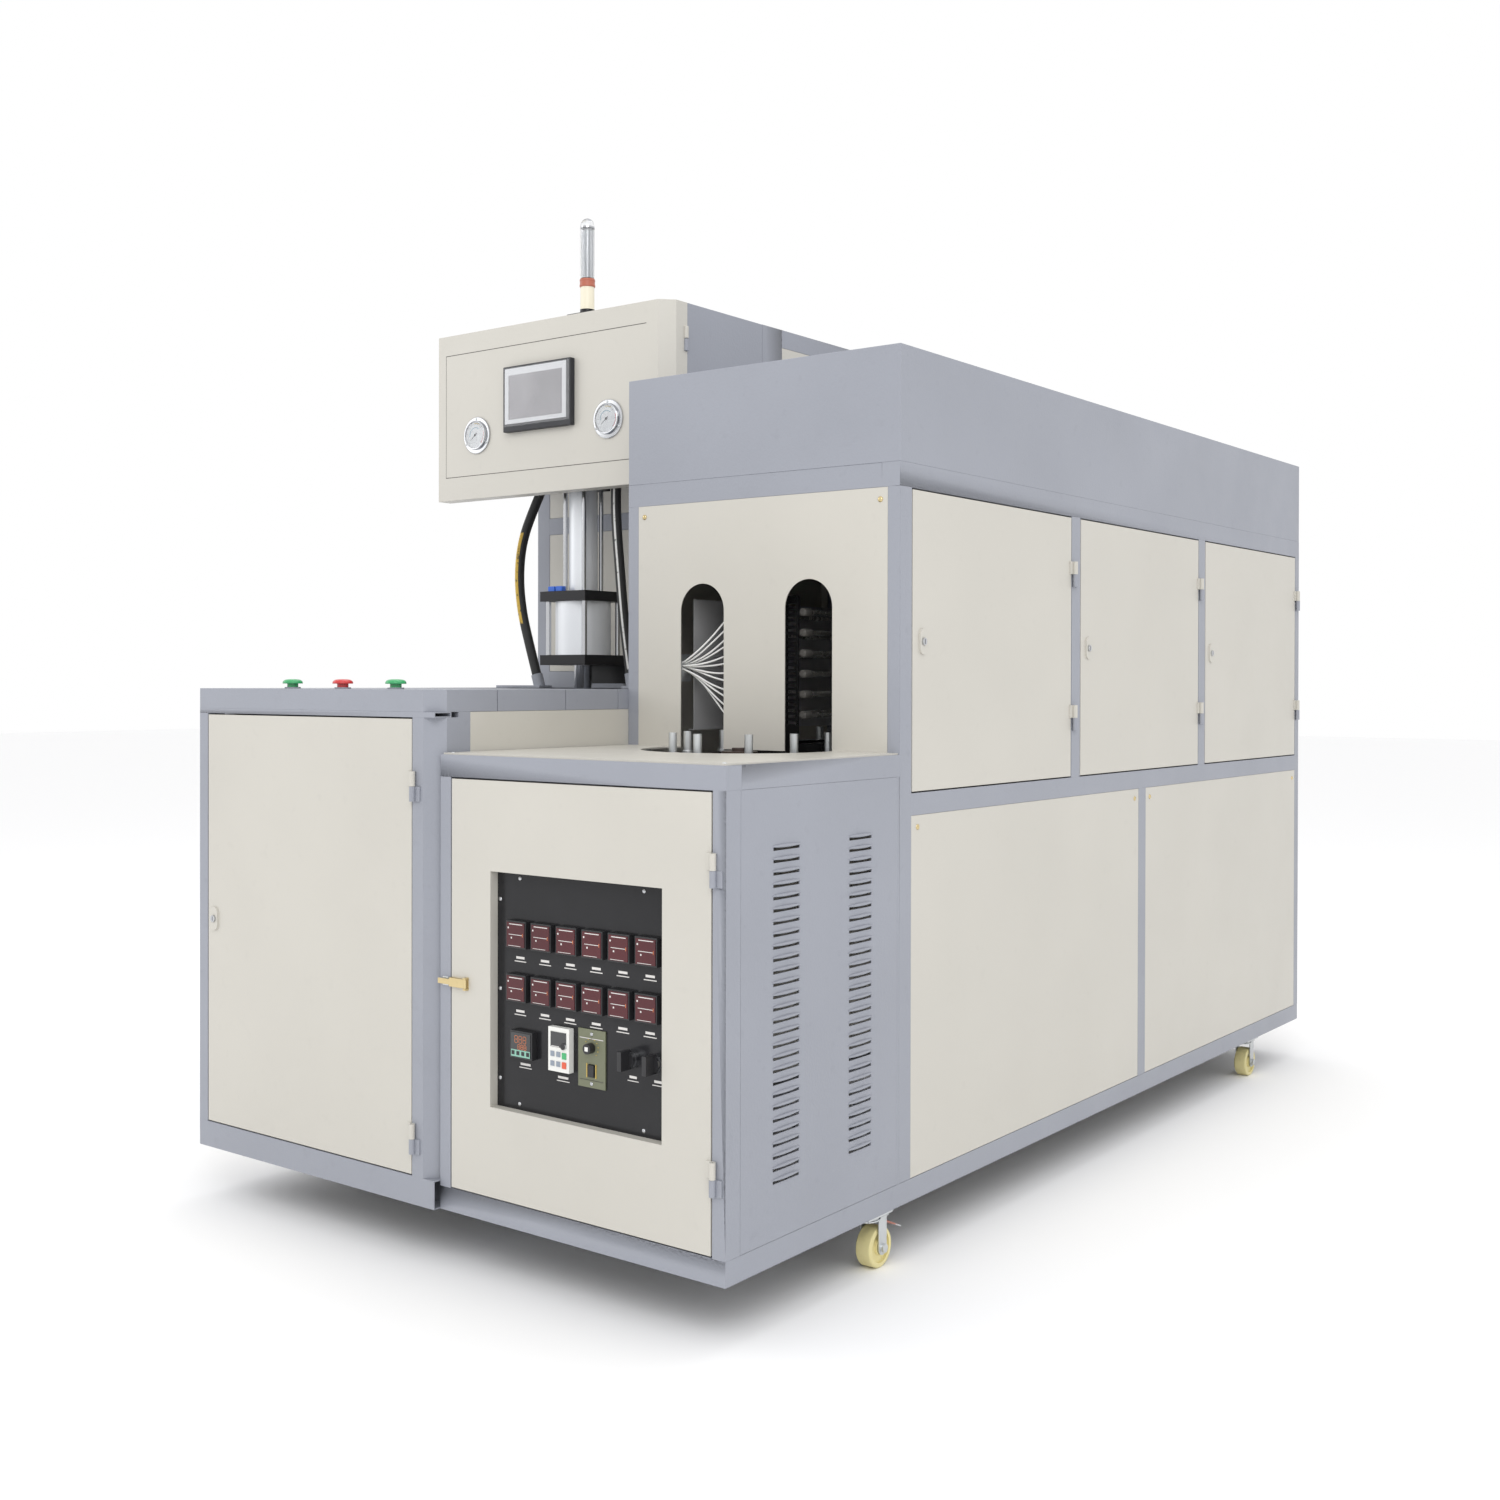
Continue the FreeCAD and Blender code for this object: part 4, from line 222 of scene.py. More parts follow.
paints = {  # colour, roughness, grain scale, grain strength, cloud, and what sets it apart
    "greyEnamel": ((0.300, 0.314, 0.358), 0.42, 190, 0.42, 0.03, dict(wear=0.10, depth=0.0009)),
    "creamCoat": ((0.555, 0.535, 0.485), 0.40, 420, 0.16, 0.018, dict(wear=0.05, depth=0.0004)),
    "panelBlack": ((0.016, 0.016, 0.018), 0.22, 300, 0.05, 0.2, dict(coat=0.12, gleam=0.25)),
    "blackPlastic": ((0.02, 0.02, 0.022), 0.38, 900, 0.2, 0.1, {}),
    "blackOxide": ((0.013, 0.013, 0.015), 0.36, 260, 0.12, 0.15, dict(metal=0.3)),
    "darkBorder": ((0.022, 0.023, 0.028), 0.5, 500, 0.1, 0.1, {}),
    "regulatorRed": ((0.075, 0.011, 0.015), 0.2, 240, 0.04, 0.16, dict(coat=0.25, gleam=0.3)),
    "oliveSheet": ((0.165, 0.175, 0.110), 0.45, 420, 0.1, 0.05, {}),
    "whitePlastic": ((0.78, 0.78, 0.75), 0.35, 700, 0.08, 0.02, {}),
    "greyKey": ((0.26, 0.30, 0.36), 0.4, 800, 0.1, 0.05, {}),
    "greenKey": ((0.06, 0.42, 0.16), 0.35, 800, 0.1, 0.05, {}),
    "orangeKey": ((0.72, 0.11, 0.05), 0.35, 800, 0.1, 0.05, {}),
    "tealBase": ((0.25, 0.50, 0.40), 0.4, 800, 0.1, 0.04, {}),
    "printWhite": ((0.70, 0.68, 0.66), 0.5, 500, 0.05, 0.08, {}),
    "printYellow": ((0.62, 0.43, 0.08), 0.45, 500, 0.05, 0.06, {}),
    "displayOrange": ((0.62, 0.18, 0.06), 0.4, 300, 0.02, 0.1, {}),
    "displayDark": ((0.030, 0.032, 0.034), 0.14, 300, 0.03, 0.1, dict(coat=0.4)),
    "chromePlate": ((0.52, 0.53, 0.55), 0.16, 80, 0.03, 0.04, dict(metal=1.0)),
    "zincPlate": ((0.60, 0.62, 0.63), 0.33, 120, 0.10, 0.14, dict(metal=0.85, wear=0.25)),
    "groundSteel": ((0.48, 0.49, 0.51), 0.3, 60, 0.10, 0.08,
                    dict(metal=0.95, stretch=(1, 12, 12))),
    "barrelAluminium": ((0.80, 0.82, 0.85), 0.34, 90, 0.10, 0.04,
                        dict(metal=0.4, stretch=(14, 14, 0.6))),
    "satinSheet": ((0.56, 0.56, 0.57), 0.42, 30, 0.12, 0.08, dict(metal=0.35, wear=0.1)),
    "darkReflector": ((0.05, 0.05, 0.052), 0.25, 18, 0.25, 0.4, dict(metal=0.7, wear=0.2)),
    "brassNickel": ((0.62, 0.50, 0.27), 0.28, 220, 0.08, 0.14, dict(metal=0.95, wear=0.2)),
    "nylonWheel": ((0.74, 0.66, 0.33), 0.42, 160, 0.16, 0.07, dict(wear=0.22)),
    "chainSteel": ((0.085, 0.062, 0.055), 0.38, 300, 0.35, 0.45, dict(metal=0.7, wear=0.5)),
    "wireWhite": ((0.86, 0.86, 0.84), 0.5, 500, 0.12, 0.03, {}),
    "ceramicCap": ((0.10, 0.095, 0.088), 0.6, 300, 0.2, 0.06, {}),
    "greenButton": ((0.03, 0.36, 0.12), 0.28, 500, 0.05, 0.08, dict(coat=0.4)),
    "redButton": ((0.58, 0.03, 0.03), 0.28, 500, 0.05, 0.08, dict(coat=0.4)),
    "lampBeige": ((0.80, 0.75, 0.60), 0.38, 500, 0.08, 0.03, {}),
    "lampRing": ((0.44, 0.13, 0.08), 0.36, 500, 0.08, 0.06, {}),
    "dialWhite": ((0.86, 0.87, 0.88), 0.4, 500, 0.03, 0.02, {}),
    "dialBlue": ((0.10, 0.32, 0.42), 0.4, 500, 0.03, 0.05, {}),
    "screenGrey": ((0.30, 0.29, 0.31), 0.18, 9, 0.03, 0.35, {}),
    "screenFrame": ((0.60, 0.61, 0.63), 0.35, 400, 0.04, 0.03, {}),
    "seamShadow": ((0.10, 0.095, 0.085), 0.7, 300, 0.1, 0.2, {}),
    "airBlue": ((0.03, 0.13, 0.58), 0.3, 500, 0.05, 0.06, {}),
}
finish = {name: coatedFinish(name, *main, **extra)
          for name, (*main, extra) in paints.items()}


def clearFinish(name, colour, roughness, ribs):
    material, tree, shader = newFinish(name)
    setSurface(shader, Base_Color=(*colour, 1), Transmission_Weight=0.96, IOR=1.45)
    gloss = spread(tree, noiseOn(tree, 40, 4), 0.3, 0.7, roughness, roughness * 2)
    tree.links.new(gloss, shader.inputs["Roughness"])
    if ribs:
        bumpFrom(tree, shader, noiseOn(tree, ribs, 1, (1, 1, 0.02)), 0.5, 0.001)
    else:
        bumpFrom(tree, shader, noiseOn(tree, 60, 3), 0.08, 0.0005)
    return material


def chippedFinish():
    # Worn red paint over zinc, as on the brake pedals.
    material, tree, shader = newFinish("pedalPaint")
    bare = spread(tree, noiseOn(tree, 60, 5), 0.46, 0.52, 0, 1)
    colour = twoColours(tree, bare, (0.42, 0.16, 0.12), (0.60, 0.61, 0.62))
    tree.links.new(colour, shader.inputs["Base Color"])
    tree.links.new(spread(tree, bare, 0, 1, 0, 0.9), shader.inputs["Metallic"])
    tree.links.new(spread(tree, bare, 0, 1, 0.55, 0.3), shader.inputs["Roughness"])
    bumpFrom(tree, shader, bare, 0.3, 0.0004)
    return material


def stripedRubber(name, direction, stripeColour, lowZ, highZ, edge):
    # Woven hose cover with a painted stripe on the side that faces the direction.
    material, tree, shader = newFinish(name)
    place = tree.nodes.new("ShaderNodeTexCoord")
    side = tree.nodes.new("ShaderNodeVectorMath")
    side.operation = "DOT_PRODUCT"
    side.inputs[1].default_value = Vector(direction).normalized()
    tree.links.new(place.outputs["Normal"], side.inputs[0])
    apart = tree.nodes.new("ShaderNodeSeparateXYZ")
    tree.links.new(place.outputs["Object"], apart.inputs[0])
    onSide = spread(tree, side.outputs["Value"], edge, edge + 0.03, 0, 1)
    above = spread(tree, apart.outputs["Z"], lowZ, lowZ + 0.004, 0, 1)
    below = spread(tree, apart.outputs["Z"], highZ - 0.004, highZ, 1, 0)
    share = onSide
    for other in (above, below, spread(tree, noiseOn(tree, 130, 5), 0.34, 0.42, 0.25, 1)):
        both = tree.nodes.new("ShaderNodeMath")
        both.operation = "MULTIPLY"
        tree.links.new(share, both.inputs[0])
        tree.links.new(other, both.inputs[1])
        share = both.outputs[0]
    colour = twoColours(tree, share, (0.016, 0.016, 0.017), stripeColour)
    tree.links.new(colour, shader.inputs["Base Color"])
    setSurface(shader, Roughness=0.55)
    weave = tree.nodes.new("ShaderNodeTexWave")
    weave.bands_direction = "DIAGONAL"
    weave.inputs["Scale"].default_value = 260
    weave.inputs["Distortion"].default_value = 1.5
    tree.links.new(place.outputs["Object"], weave.inputs["Vector"])
    bumpFrom(tree, shader, weave.outputs["Fac"], 0.35, 0.0006)
    return material


def thinFilm(name, share):
    material, tree, shader = newFinish(name)
    setSurface(shader, Base_Color=(0.93, 0.94, 0.96, 1), Alpha=share)
    gloss = spread(tree, noiseOn(tree, 40, 4), 0.3, 0.7, 0.05, 0.12)
    tree.links.new(gloss, shader.inputs["Roughness"])
    return material


finish["screenFilm"] = thinFilm("screenFilm", 0.16)
finish["pedalPaint"] = chippedFinish()
for name, colour, roughness, ribs in (("clearTube", (0.93, 0.94, 0.95), 0.06, 150),
                                      ("clearPane", (0.97, 0.98, 0.99), 0.03, 0),
                                      ("quartzTube", (0.90, 0.88, 0.84), 0.16, 0)):
    finish[name] = clearFinish(name, colour, roughness, ribs)
stripes = {  # side it faces, colour, lowest and highest point, narrowness
    "leftHose": ((-0.20, -0.98, 0), (0.58, 0.38, 0.05), 1.205, 1.430, 0.80),
    "rightHose": ((0.30, -0.95, 0), (0.78, 0.78, 0.76), 1.09, 1.55, 0.965),
}
for name, stripe in stripes.items():
    finish[name] = stripedRubber(name, *stripe)
print("finishes ready:", len(finish))

lightRoom()

# Making pieces.


def bodyOf(nodeName):
    return frame["nodes"][nodeName]["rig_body"]


def addPiece(name, mesh, body):
    item = bpy.data.objects.new(name, mesh)
    bpy.context.scene.collection.objects.link(item)
    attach(item, body)
    return item


def closeMesh(name, work, materials, turnOut=True):
    if turnOut:
        bmesh.ops.recalc_face_normals(work, faces=work.faces[:])
    mesh = bpy.data.meshes.new(name)
    work.to_mesh(mesh)
    work.free()
    for material in materials:
        mesh.materials.append(material)
    return mesh


def boxOf(points):
    return (Vector([min(point[i] for point in points) for i in range(3)]),
            Vector([max(point[i] for point in points) for i in range(3)]))


def islandsOf(work, single=False):
    # Groups of joined faces with the box of each; single doesn't cross a shared seam.
    work.faces.ensure_lookup_table()
    work.faces.index_update()
    seen, groups = set(), []
    for first in work.faces:
        if first.index in seen:
            continue
        seen.add(first.index)
        group, queue = [first], [first]
        while queue:
            for edge in queue.pop().edges:
                if single and len(edge.link_faces) != 2:
                    continue
                for other in edge.link_faces:
                    if other.index not in seen:
                        seen.add(other.index)
                        group.append(other)
                        queue.append(other)
        groups.append((group, *boxOf([vert.co for face in group for vert in face.verts])))
    return groups


def mergedCopy(nodeName):
    work = bmesh.new()
    work.from_mesh(frame["nodes"][nodeName].data)
    bmesh.ops.remove_doubles(work, verts=work.verts[:], dist=2e-6)
    return work


def islandBoxes(nodeName, single=False):
    work = mergedCopy(nodeName)
    boxes = [(low, high) for _, low, high in islandsOf(work, single)]
    work.free()
    return boxes


def plainMesh(item):
    # Fixes the modifiers' result as the piece's own mesh.
    graph = bpy.context.evaluated_depsgraph_get()
    done = bpy.data.meshes.new_from_object(item.evaluated_get(graph))
    item.modifiers.clear()
    item.data = done


edges = {"bevelFrom": 50, "sharpFrom": 32, "segments": 2, "faceWeight": 80, "flatWithin": 0.4}


def finishMesh(item, bevelWidth):
    if bevelWidth:
        bevel = item.modifiers.new("softEdges", "BEVEL")
        bevel.width = bevelWidth
        bevel.segments = edges["segments"]
        bevel.limit_method = "ANGLE"
        bevel.angle_limit = math.radians(edges["bevelFrom"])
        bevel.use_clamp_overlap = True
        bevel.harden_normals = True
        plainMesh(item)
    item.data.shade_smooth()
    item.data.set_sharp_from_angle(angle=math.radians(edges["sharpFrom"]))
    even = item.modifiers.new("evenNormals", "WEIGHTED_NORMAL")
    even.keep_sharp = True
    even.weight = edges["faceWeight"]
    plainMesh(item)


def dressNode(nodeName, choose, bevelWidth):
    # A copy of a CAD node with its own finish on each solid and softened edges.
    work = mergedCopy(nodeName)
    used = []
    for group, low, high in islandsOf(work):
        for face in group:
            wanted = finish[choose(low, high, face.normal, face.calc_center_median())]
            if wanted not in used:
                used.append(wanted)
            face.material_index = used.index(wanted)
    if bevelWidth:
        bmesh.ops.dissolve_limit(work, angle_limit=math.radians(edges["flatWithin"]),
                                 verts=work.verts[:], edges=work.edges[:],
                                 delimit={"MATERIAL"})
    mesh = closeMesh(nodeName + "Look", work, used, turnOut=False)
    item = bpy.data.objects.new(mesh.name, mesh)
    bpy.context.scene.collection.objects.link(item)
    finishMesh(item, bevelWidth)
    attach(item, bodyOf(nodeName))
    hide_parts(nodeName)


def always(name):
    return lambda low, high, normal, centre: name


def boxMesh(name, parts, soft=0.0):
    # Rounded blocks in one mesh; each part is a lowest corner, a highest corner, a finish.
    work = bmesh.new()
    used = []
    for low, high, finishName in parts:
        earlier = set(work.faces)
        made = bmesh.ops.create_cube(work, size=1)
        size = Vector(high) - Vector(low)
        middle = (Vector(high) + Vector(low)) / 2
        for vert in made["verts"]:
            vert.co = Vector([vert.co[i] * size[i] for i in range(3)]) + middle
        if soft:
            edges = list({edge for vert in made["verts"] for edge in vert.link_edges})
            bmesh.ops.bevel(work, geom=edges, offset=min(soft, min(size) * 0.4),
                            segments=2, affect="EDGES", profile=0.5)
        if finish[finishName] not in used:
            used.append(finish[finishName])
        for face in work.faces:
            if face not in earlier:
                face.material_index = used.index(finish[finishName])
    return closeMesh(name, work, used)


def turnedMesh(name, profile, axis, place, finishNames, steps):
    # Profile of (radius, along, finish number) turned round an axis through the place.
    work = bmesh.new()
    rings = []
    for radius, along, _ in profile:
        turns = [2 * math.pi * i / steps for i in range(steps if radius else 1)]
        rings.append([work.verts.new((radius * math.cos(turn), radius * math.sin(turn), along))
                      for turn in turns])
    for number, (first, second) in enumerate(zip(rings, rings[1:])):
        part = profile[number + 1][2]
        for i in range(steps):
            j = (i + 1) % steps
            corners = []
            for vert in (first[i % len(first)], first[j % len(first)],
                         second[j % len(second)], second[i % len(second)]):
                if vert not in corners:
                    corners.append(vert)
            if len(corners) > 2:
                work.faces.new(corners).material_index = part
    turn = Vector(axis).to_track_quat("Z", "Y").to_matrix().to_4x4()
    bmesh.ops.transform(work, matrix=Matrix.Translation(place) @ turn, verts=work.verts[:])
    return closeMesh(name, work, [finish[finishName] for finishName in finishNames])


def addTurned(name, profile, axis, place, finishNames, steps=48, body="machine"):
    return addPiece(name, turnedMesh(name, profile, axis, place, finishNames, steps), body)


# Geometry node trees.

def newTree(name, sizes):
    tree = bpy.data.node_groups.new(name, "GeometryNodeTree")
    tree.interface.new_socket(name="Places", in_out="INPUT", socket_type="NodeSocketGeometry")
    for label, value in sizes.items():
        kind = "NodeSocketInt" if isinstance(value, int) else "NodeSocketFloat"
        socket = tree.interface.new_socket(name=label, in_out="INPUT", socket_type=kind)
        socket.default_value = value
    tree.interface.new_socket(name="Finish", in_out="INPUT", socket_type="NodeSocketMaterial")
    tree.interface.new_socket(name="Geometry", in_out="OUTPUT",
                              socket_type="NodeSocketGeometry")
    return tree, tree.nodes.new("NodeGroupInput"), tree.nodes.new("NodeGroupOutput")


def closeTree(tree, given, result, shape, facing=True):
    # Puts the shape on every place, turned to the place's facing, and gives it its finish.
    spreadOut = tree.nodes.new("GeometryNodeInstanceOnPoints")
    tree.links.new(given.outputs["Places"], spreadOut.inputs["Points"])
    tree.links.new(shape, spreadOut.inputs["Instance"])
    if facing:
        way = tree.nodes.new("GeometryNodeInputNamedAttribute")
        way.data_type = "FLOAT_VECTOR"
        way.inputs["Name"].default_value = "facing"
        turn = tree.nodes.new("FunctionNodeAlignRotationToVector")
        turn.axis = "Z"
        tree.links.new(way.outputs["Attribute"], turn.inputs["Vector"])
        tree.links.new(turn.outputs["Rotation"], spreadOut.inputs["Rotation"])
    real = tree.nodes.new("GeometryNodeRealizeInstances")
    coat = tree.nodes.new("GeometryNodeSetMaterial")
    tree.links.new(spreadOut.outputs["Instances"], real.inputs["Geometry"])
    tree.links.new(real.outputs["Geometry"], coat.inputs["Geometry"])
    tree.links.new(given.outputs["Finish"], coat.inputs["Material"])
    tree.links.new(coat.outputs["Geometry"], result.inputs["Geometry"])
    return tree


def plateTree():
    # Small flat plates and lines, with width, depth and height as inputs.
    tree, given, result = newTree("plates", {"Width": 0.01, "Depth": 0.0004, "Height": 0.001})
    cube = tree.nodes.new("GeometryNodeMeshCube")
    size = tree.nodes.new("ShaderNodeCombineXYZ")
    for label, axis in (("Width", "X"), ("Depth", "Y"), ("Height", "Z")):
        tree.links.new(given.outputs[label], size.inputs[axis])
    tree.links.new(size.outputs["Vector"], cube.inputs["Size"])
    return closeTree(tree, given, result, cube.outputs["Mesh"], facing=False)


def scaledShape(tree, given, mesh, labels, smooth=True):
    # Sizes a unit shape by three of the tree's inputs.
    scale = tree.nodes.new("ShaderNodeCombineXYZ")
    for label, axis in zip(labels, "XYZ"):
        tree.links.new(given.outputs[label], scale.inputs[axis])
    shaped = tree.nodes.new("GeometryNodeTransform")
    tree.links.new(mesh, shaped.inputs["Geometry"])
    tree.links.new(scale.outputs["Vector"], shaped.inputs["Scale"])
    if not smooth:
        return shaped.outputs["Geometry"]
    soften = tree.nodes.new("GeometryNodeSetShadeSmooth")
    tree.links.new(shaped.outputs["Geometry"], soften.inputs["Geometry"])
    return soften.outputs["Geometry"]


def screwTree():
    # Domed screw heads; a flattened ball whose lower half sits in the sheet.
    tree, given, result = newTree("screws", {"Radius": 0.005, "Rise": 0.0025, "Sides": 20})
    ball = tree.nodes.new("GeometryNodeMeshUVSphere")
    ball.inputs["Rings"].default_value = 8
    tree.links.new(given.outputs["Sides"], ball.inputs["Segments"])
    ball.inputs["Radius"].default_value = 1
    shape = scaledShape(tree, given, ball.outputs["Mesh"], ("Radius", "Radius", "Rise"))
    return closeTree(tree, given, result, shape)


def louvreTree():
    # Pressed hood over each louvre slot: a closed half round with a chosen length.
    tree, given, result = newTree("louvres", {"Length": 0.07, "Bulge": 0.004, "Height": 0.005})
    bar = tree.nodes.new("GeometryNodeMeshUVSphere")
    bar.inputs["Segments"].default_value = 16
    bar.inputs["Rings"].default_value = 24
    bar.inputs["Radius"].default_value = 0.5
    shape = scaledShape(tree, given, bar.outputs["Mesh"], ("Bulge", "Height", "Length"))
    return closeTree(tree, given, result, shape)


def chainTree():
    # Chain plates, rollers and ribs: a unit round bar turned along the path.
    tree, given, result = newTree("chain", {"Pitch": 0.019, "Thickness": 0.002, "Height": 0.010})
    bar = tree.nodes.new("GeometryNodeMeshCylinder")
    bar.inputs["Vertices"].default_value = 12
    bar.inputs["Radius"].default_value = 0.5
    bar.inputs["Depth"].default_value = 1
    shape = scaledShape(tree, given, bar.outputs["Mesh"], ("Height", "Thickness", "Pitch"),
                        smooth=False)
    return closeTree(tree, given, result, shape)


trees = {"plates": plateTree(), "screws": screwTree(), "louvres": louvreTree(),
         "chain": chainTree()}


def repeated(name, treeName, places, body, finishName, sizes, facing):
    # Runs one of the trees over the places and keeps the result as a plain mesh.
    points = bpy.data.meshes.new(name + "Places")
    points.from_pydata([tuple(place) for place in places], [], [])
    ways = facing if isinstance(facing, list) else [facing] * len(places)
    attribute = points.attributes.new("facing", "FLOAT_VECTOR", "POINT")
    attribute.data.foreach_set("vector", [part for way in ways for part in way])
    item = bpy.data.objects.new(name, points)
    bpy.context.scene.collection.objects.link(item)
    maker = item.modifiers.new("maker", "NODES")
    maker.node_group = trees[treeName]
    for socket in trees[treeName].interface.items_tree:
        if socket.in_out == "INPUT" and socket.name in sizes:
            maker[socket.identifier] = sizes[socket.name]
        if socket.in_out == "INPUT" and socket.name == "Finish":
            maker[socket.identifier] = finish[finishName]
    plainMesh(item)
    item.data.name = name
    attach(item, body)
    return item


print("trees ready:", len(trees))

# Painted sheet and frame.

soft = {"sheet": 0.0009, "tube": 0.0016}


def frameSolid(low, high, normal, centre):
    size = high - low
    if high.z < 0.1055 and size.x < 0.1:
        return "zincPlate"
    if size.z < 0.02 and high.y < -1.315 and size.x < 0.02:
        return "zincPlate"
    return "greyEnamel"


def doorSolid(low, high, normal, centre):
    size = high - low
    if size.z > 0.2:
        return "creamCoat"
    if size.z > 0.04 and min(size.x, size.y) < 0.006:
        return "chromePlate"
    if size.z < 0.026:
        return "brassNickel"
    return "creamCoat"


def coverSolid(low, high, normal, centre):
    return "greyEnamel" if high.x - low.x > 0.1 else "blackPlastic"


sheetNodes = {  # node: how its solids are finished, edge radius, record slot
    "heater_frame": (frameSolid, soft["tube"], "grey_paint"),
    "host_frame": (frameSolid, soft["tube"], "grey_paint"),
    "heater_hood": (always("greyEnamel"), soft["tube"], "grey_paint"),
    "head_box": (always("greyEnamel"), soft["tube"], "grey_paint"),
    "louvre_panels": (always("greyEnamel"), 0.0, "grey_paint"),
    "table_covers": (coverSolid, soft["sheet"], "grey_paint"),
    "table_top": (always("creamCoat"), 0.0, "cream_paint"),
    "oven_front_panel": (always("creamCoat"), 0.0, "cream_paint"),
    "heater_panels": (always("creamCoat"), soft["sheet"], "cream_paint"),
    "host_panels": (always("creamCoat"), soft["sheet"], "cream_paint"),
    "head_lid": (always("creamCoat"), soft["sheet"], "cream_paint"),
    "control_door": (doorSolid, soft["sheet"], "cream_paint"),
    "host_door": (doorSolid, soft["sheet"], "cream_paint"),
    "oven_door_1": (doorSolid, soft["sheet"], "cream_paint"),
    "oven_door_2": (doorSolid, soft["sheet"], "cream_paint"),
    "oven_door_3": (doorSolid, soft["sheet"], "cream_paint"),
}
for nodeName, (choose, edge, slotName) in sheetNodes.items():
    dressNode(nodeName, choose, edge)

tubeCap = {"wall": 0.0018, "thickness": 0.002, "thinnest": 0.018, "widest": 0.0505,
           "shortest": 0.1}


def capTubes(nodeName):
    # Welded plates that close the ends of the frame's tubes.
    parts = []
    wall, thickness = tubeCap["wall"], tubeCap["thickness"]
    for low, high in islandBoxes(nodeName, single=True):
        size = high - low
        along = max(range(3), key=lambda i: size[i])
        across = [i for i in range(3) if i != along]
        narrow, wide = sorted(size[i] for i in across)
        if size[along] < tubeCap["shortest"] or wide > tubeCap["widest"]:
            continue
        if narrow < tubeCap["thinnest"]:
            continue
        for end, inner in ((low[along], low[along] + thickness),
                           (high[along], high[along] - thickness)):
            start, stop = low.copy(), high.copy()
            for i in across:
                start[i] += wall
                stop[i] -= wall
            start[along], stop[along] = min(end, inner), max(end, inner)
            parts.append((start, stop, "greyEnamel"))
    addPiece(nodeName + "Caps", boxMesh(nodeName + "Caps", parts), "machine")
    return len(parts)


print("sheet metal dressed, tube ends:", capTubes("heater_frame"), capTubes("host_frame"))

# Cylinders over the mould.


def cylinderSolid(low, high, normal, centre):
    size = high - low
    if abs(size.x - size.y) < 0.001 and size.x > 0.08 and size.z < 0.035:
        return "blackOxide"
    if size.x < 0.014 and size.y < 0.014 and size.z > 0.1:
        return "chromePlate"
    if size.z > 0.09 and abs(size.x - size.y) < 0.001:
        return "barrelAluminium"
    if size.x > 0.12 and size.y > 0.1:
        return "blackOxide"
    if size.x < 0.12 and size.z < 0.1:
        return "zincPlate"
    return "greyEnamel"


dressNode("seal_cylinder", cylinderSolid, 0.0008)
dressNode("stretch_cylinder", cylinderSolid, 0.0008)
for nodeName in ("seal_piston_rod", "stretch_rod"):
    dressNode(nodeName, always("chromePlate"), 0.0)
for nodeName in ("front_platen", "rear_platen", "clamp_unit"):
    dressNode(nodeName, always("groundSteel"), 0.0008)
print("cylinders and clamp dressed")

airFitting = {"body": (0.020, 0.014, 0.012), "offset": (-0.046, -0.052), "spread": 0.024}


def addAirFittings():
    # Push-in elbows for the thin air lines, on the upper plate.
    low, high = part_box("stretch_rod")
    half = Vector(airFitting["body"]) / 2
    aside, forward = airFitting["offset"]
    middle = Vector(((low.x + high.x) / 2 + aside, (low.y + high.y) / 2 + forward,
                     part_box("stretch_cylinder")[0].z + half.z))
    spots = [middle + Vector((step * airFitting["spread"], 0, 0)) for step in (0, 1)]
    parts = [(spot - half, spot + half, "airBlue") for spot in spots]
    addPiece("airFittings", boxMesh("airFittings", parts, 0.0015), "machine")


addAirFittings()

# Oven and conveyor.


def rackSolid(low, high, normal, centre):
    size = high - low
    if size.z > 0.2 and size.y < 0.01:
        return "blackPlastic"
    if size.y > 1.5 and size.z > 0.2:
        return "satinSheet" if centre.x < 0.3 else "darkReflector"
    return "zincPlate"


dressNode("lamp_racks", rackSolid, 0.0)
dressNode("conveyor_drive", always("groundSteel"), 0.0006)
dressNode("drive_sprocket", always("chainSteel"), 0.0004)
dressNode("preform_holders", always("zincPlate"), 0.0004)


def lampPart(low, high, normal, centre):
    near = min(abs(centre.y - low.y), abs(high.y - centre.y))
    return "ceramicCap" if near < 0.0225 else "quartzTube"


dressNode("heat_lamps", lampPart, 0.0)

chain = {"pitch": 0.01905, "plateHeight": 0.0105, "plateWall": 0.0016, "rollerRadius": 0.0052,
         "rollerHeight": 0.0086, "inset": 0.010, "sideOffset": 0.0065, "plateShare": 0.96}


def chainPath():
    # Points and headings round the conveyor: two straights and two half turns.
    low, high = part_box("conveyor_chain")
    inset = chain["inset"]
    radius = (high.x - low.x) / 2 - inset
    middleX = (high.x + low.x) / 2
    startY = low.y + radius + inset
    endY = high.y - radius - inset
    straight = endY - startY
    total = 2 * straight + 2 * math.pi * radius
    count = int(total / chain["pitch"])
    for i in range(count):
        along = total * i / count
        if along < straight:
            yield (middleX + radius, startY + along), (0, 1)
        elif along < straight + math.pi * radius:
            turn = (along - straight) / radius
            yield ((middleX + radius * math.cos(turn), endY + radius * math.sin(turn)),
                   (-math.sin(turn), math.cos(turn)))
        elif along < 2 * straight + math.pi * radius:
            yield (middleX - radius, endY - (along - straight - math.pi * radius)), (0, -1)
        else:
            turn = math.pi + (along - 2 * straight - math.pi * radius) / radius
            yield ((middleX + radius * math.cos(turn), startY + radius * math.sin(turn)),
                   (-math.sin(turn), math.cos(turn)))


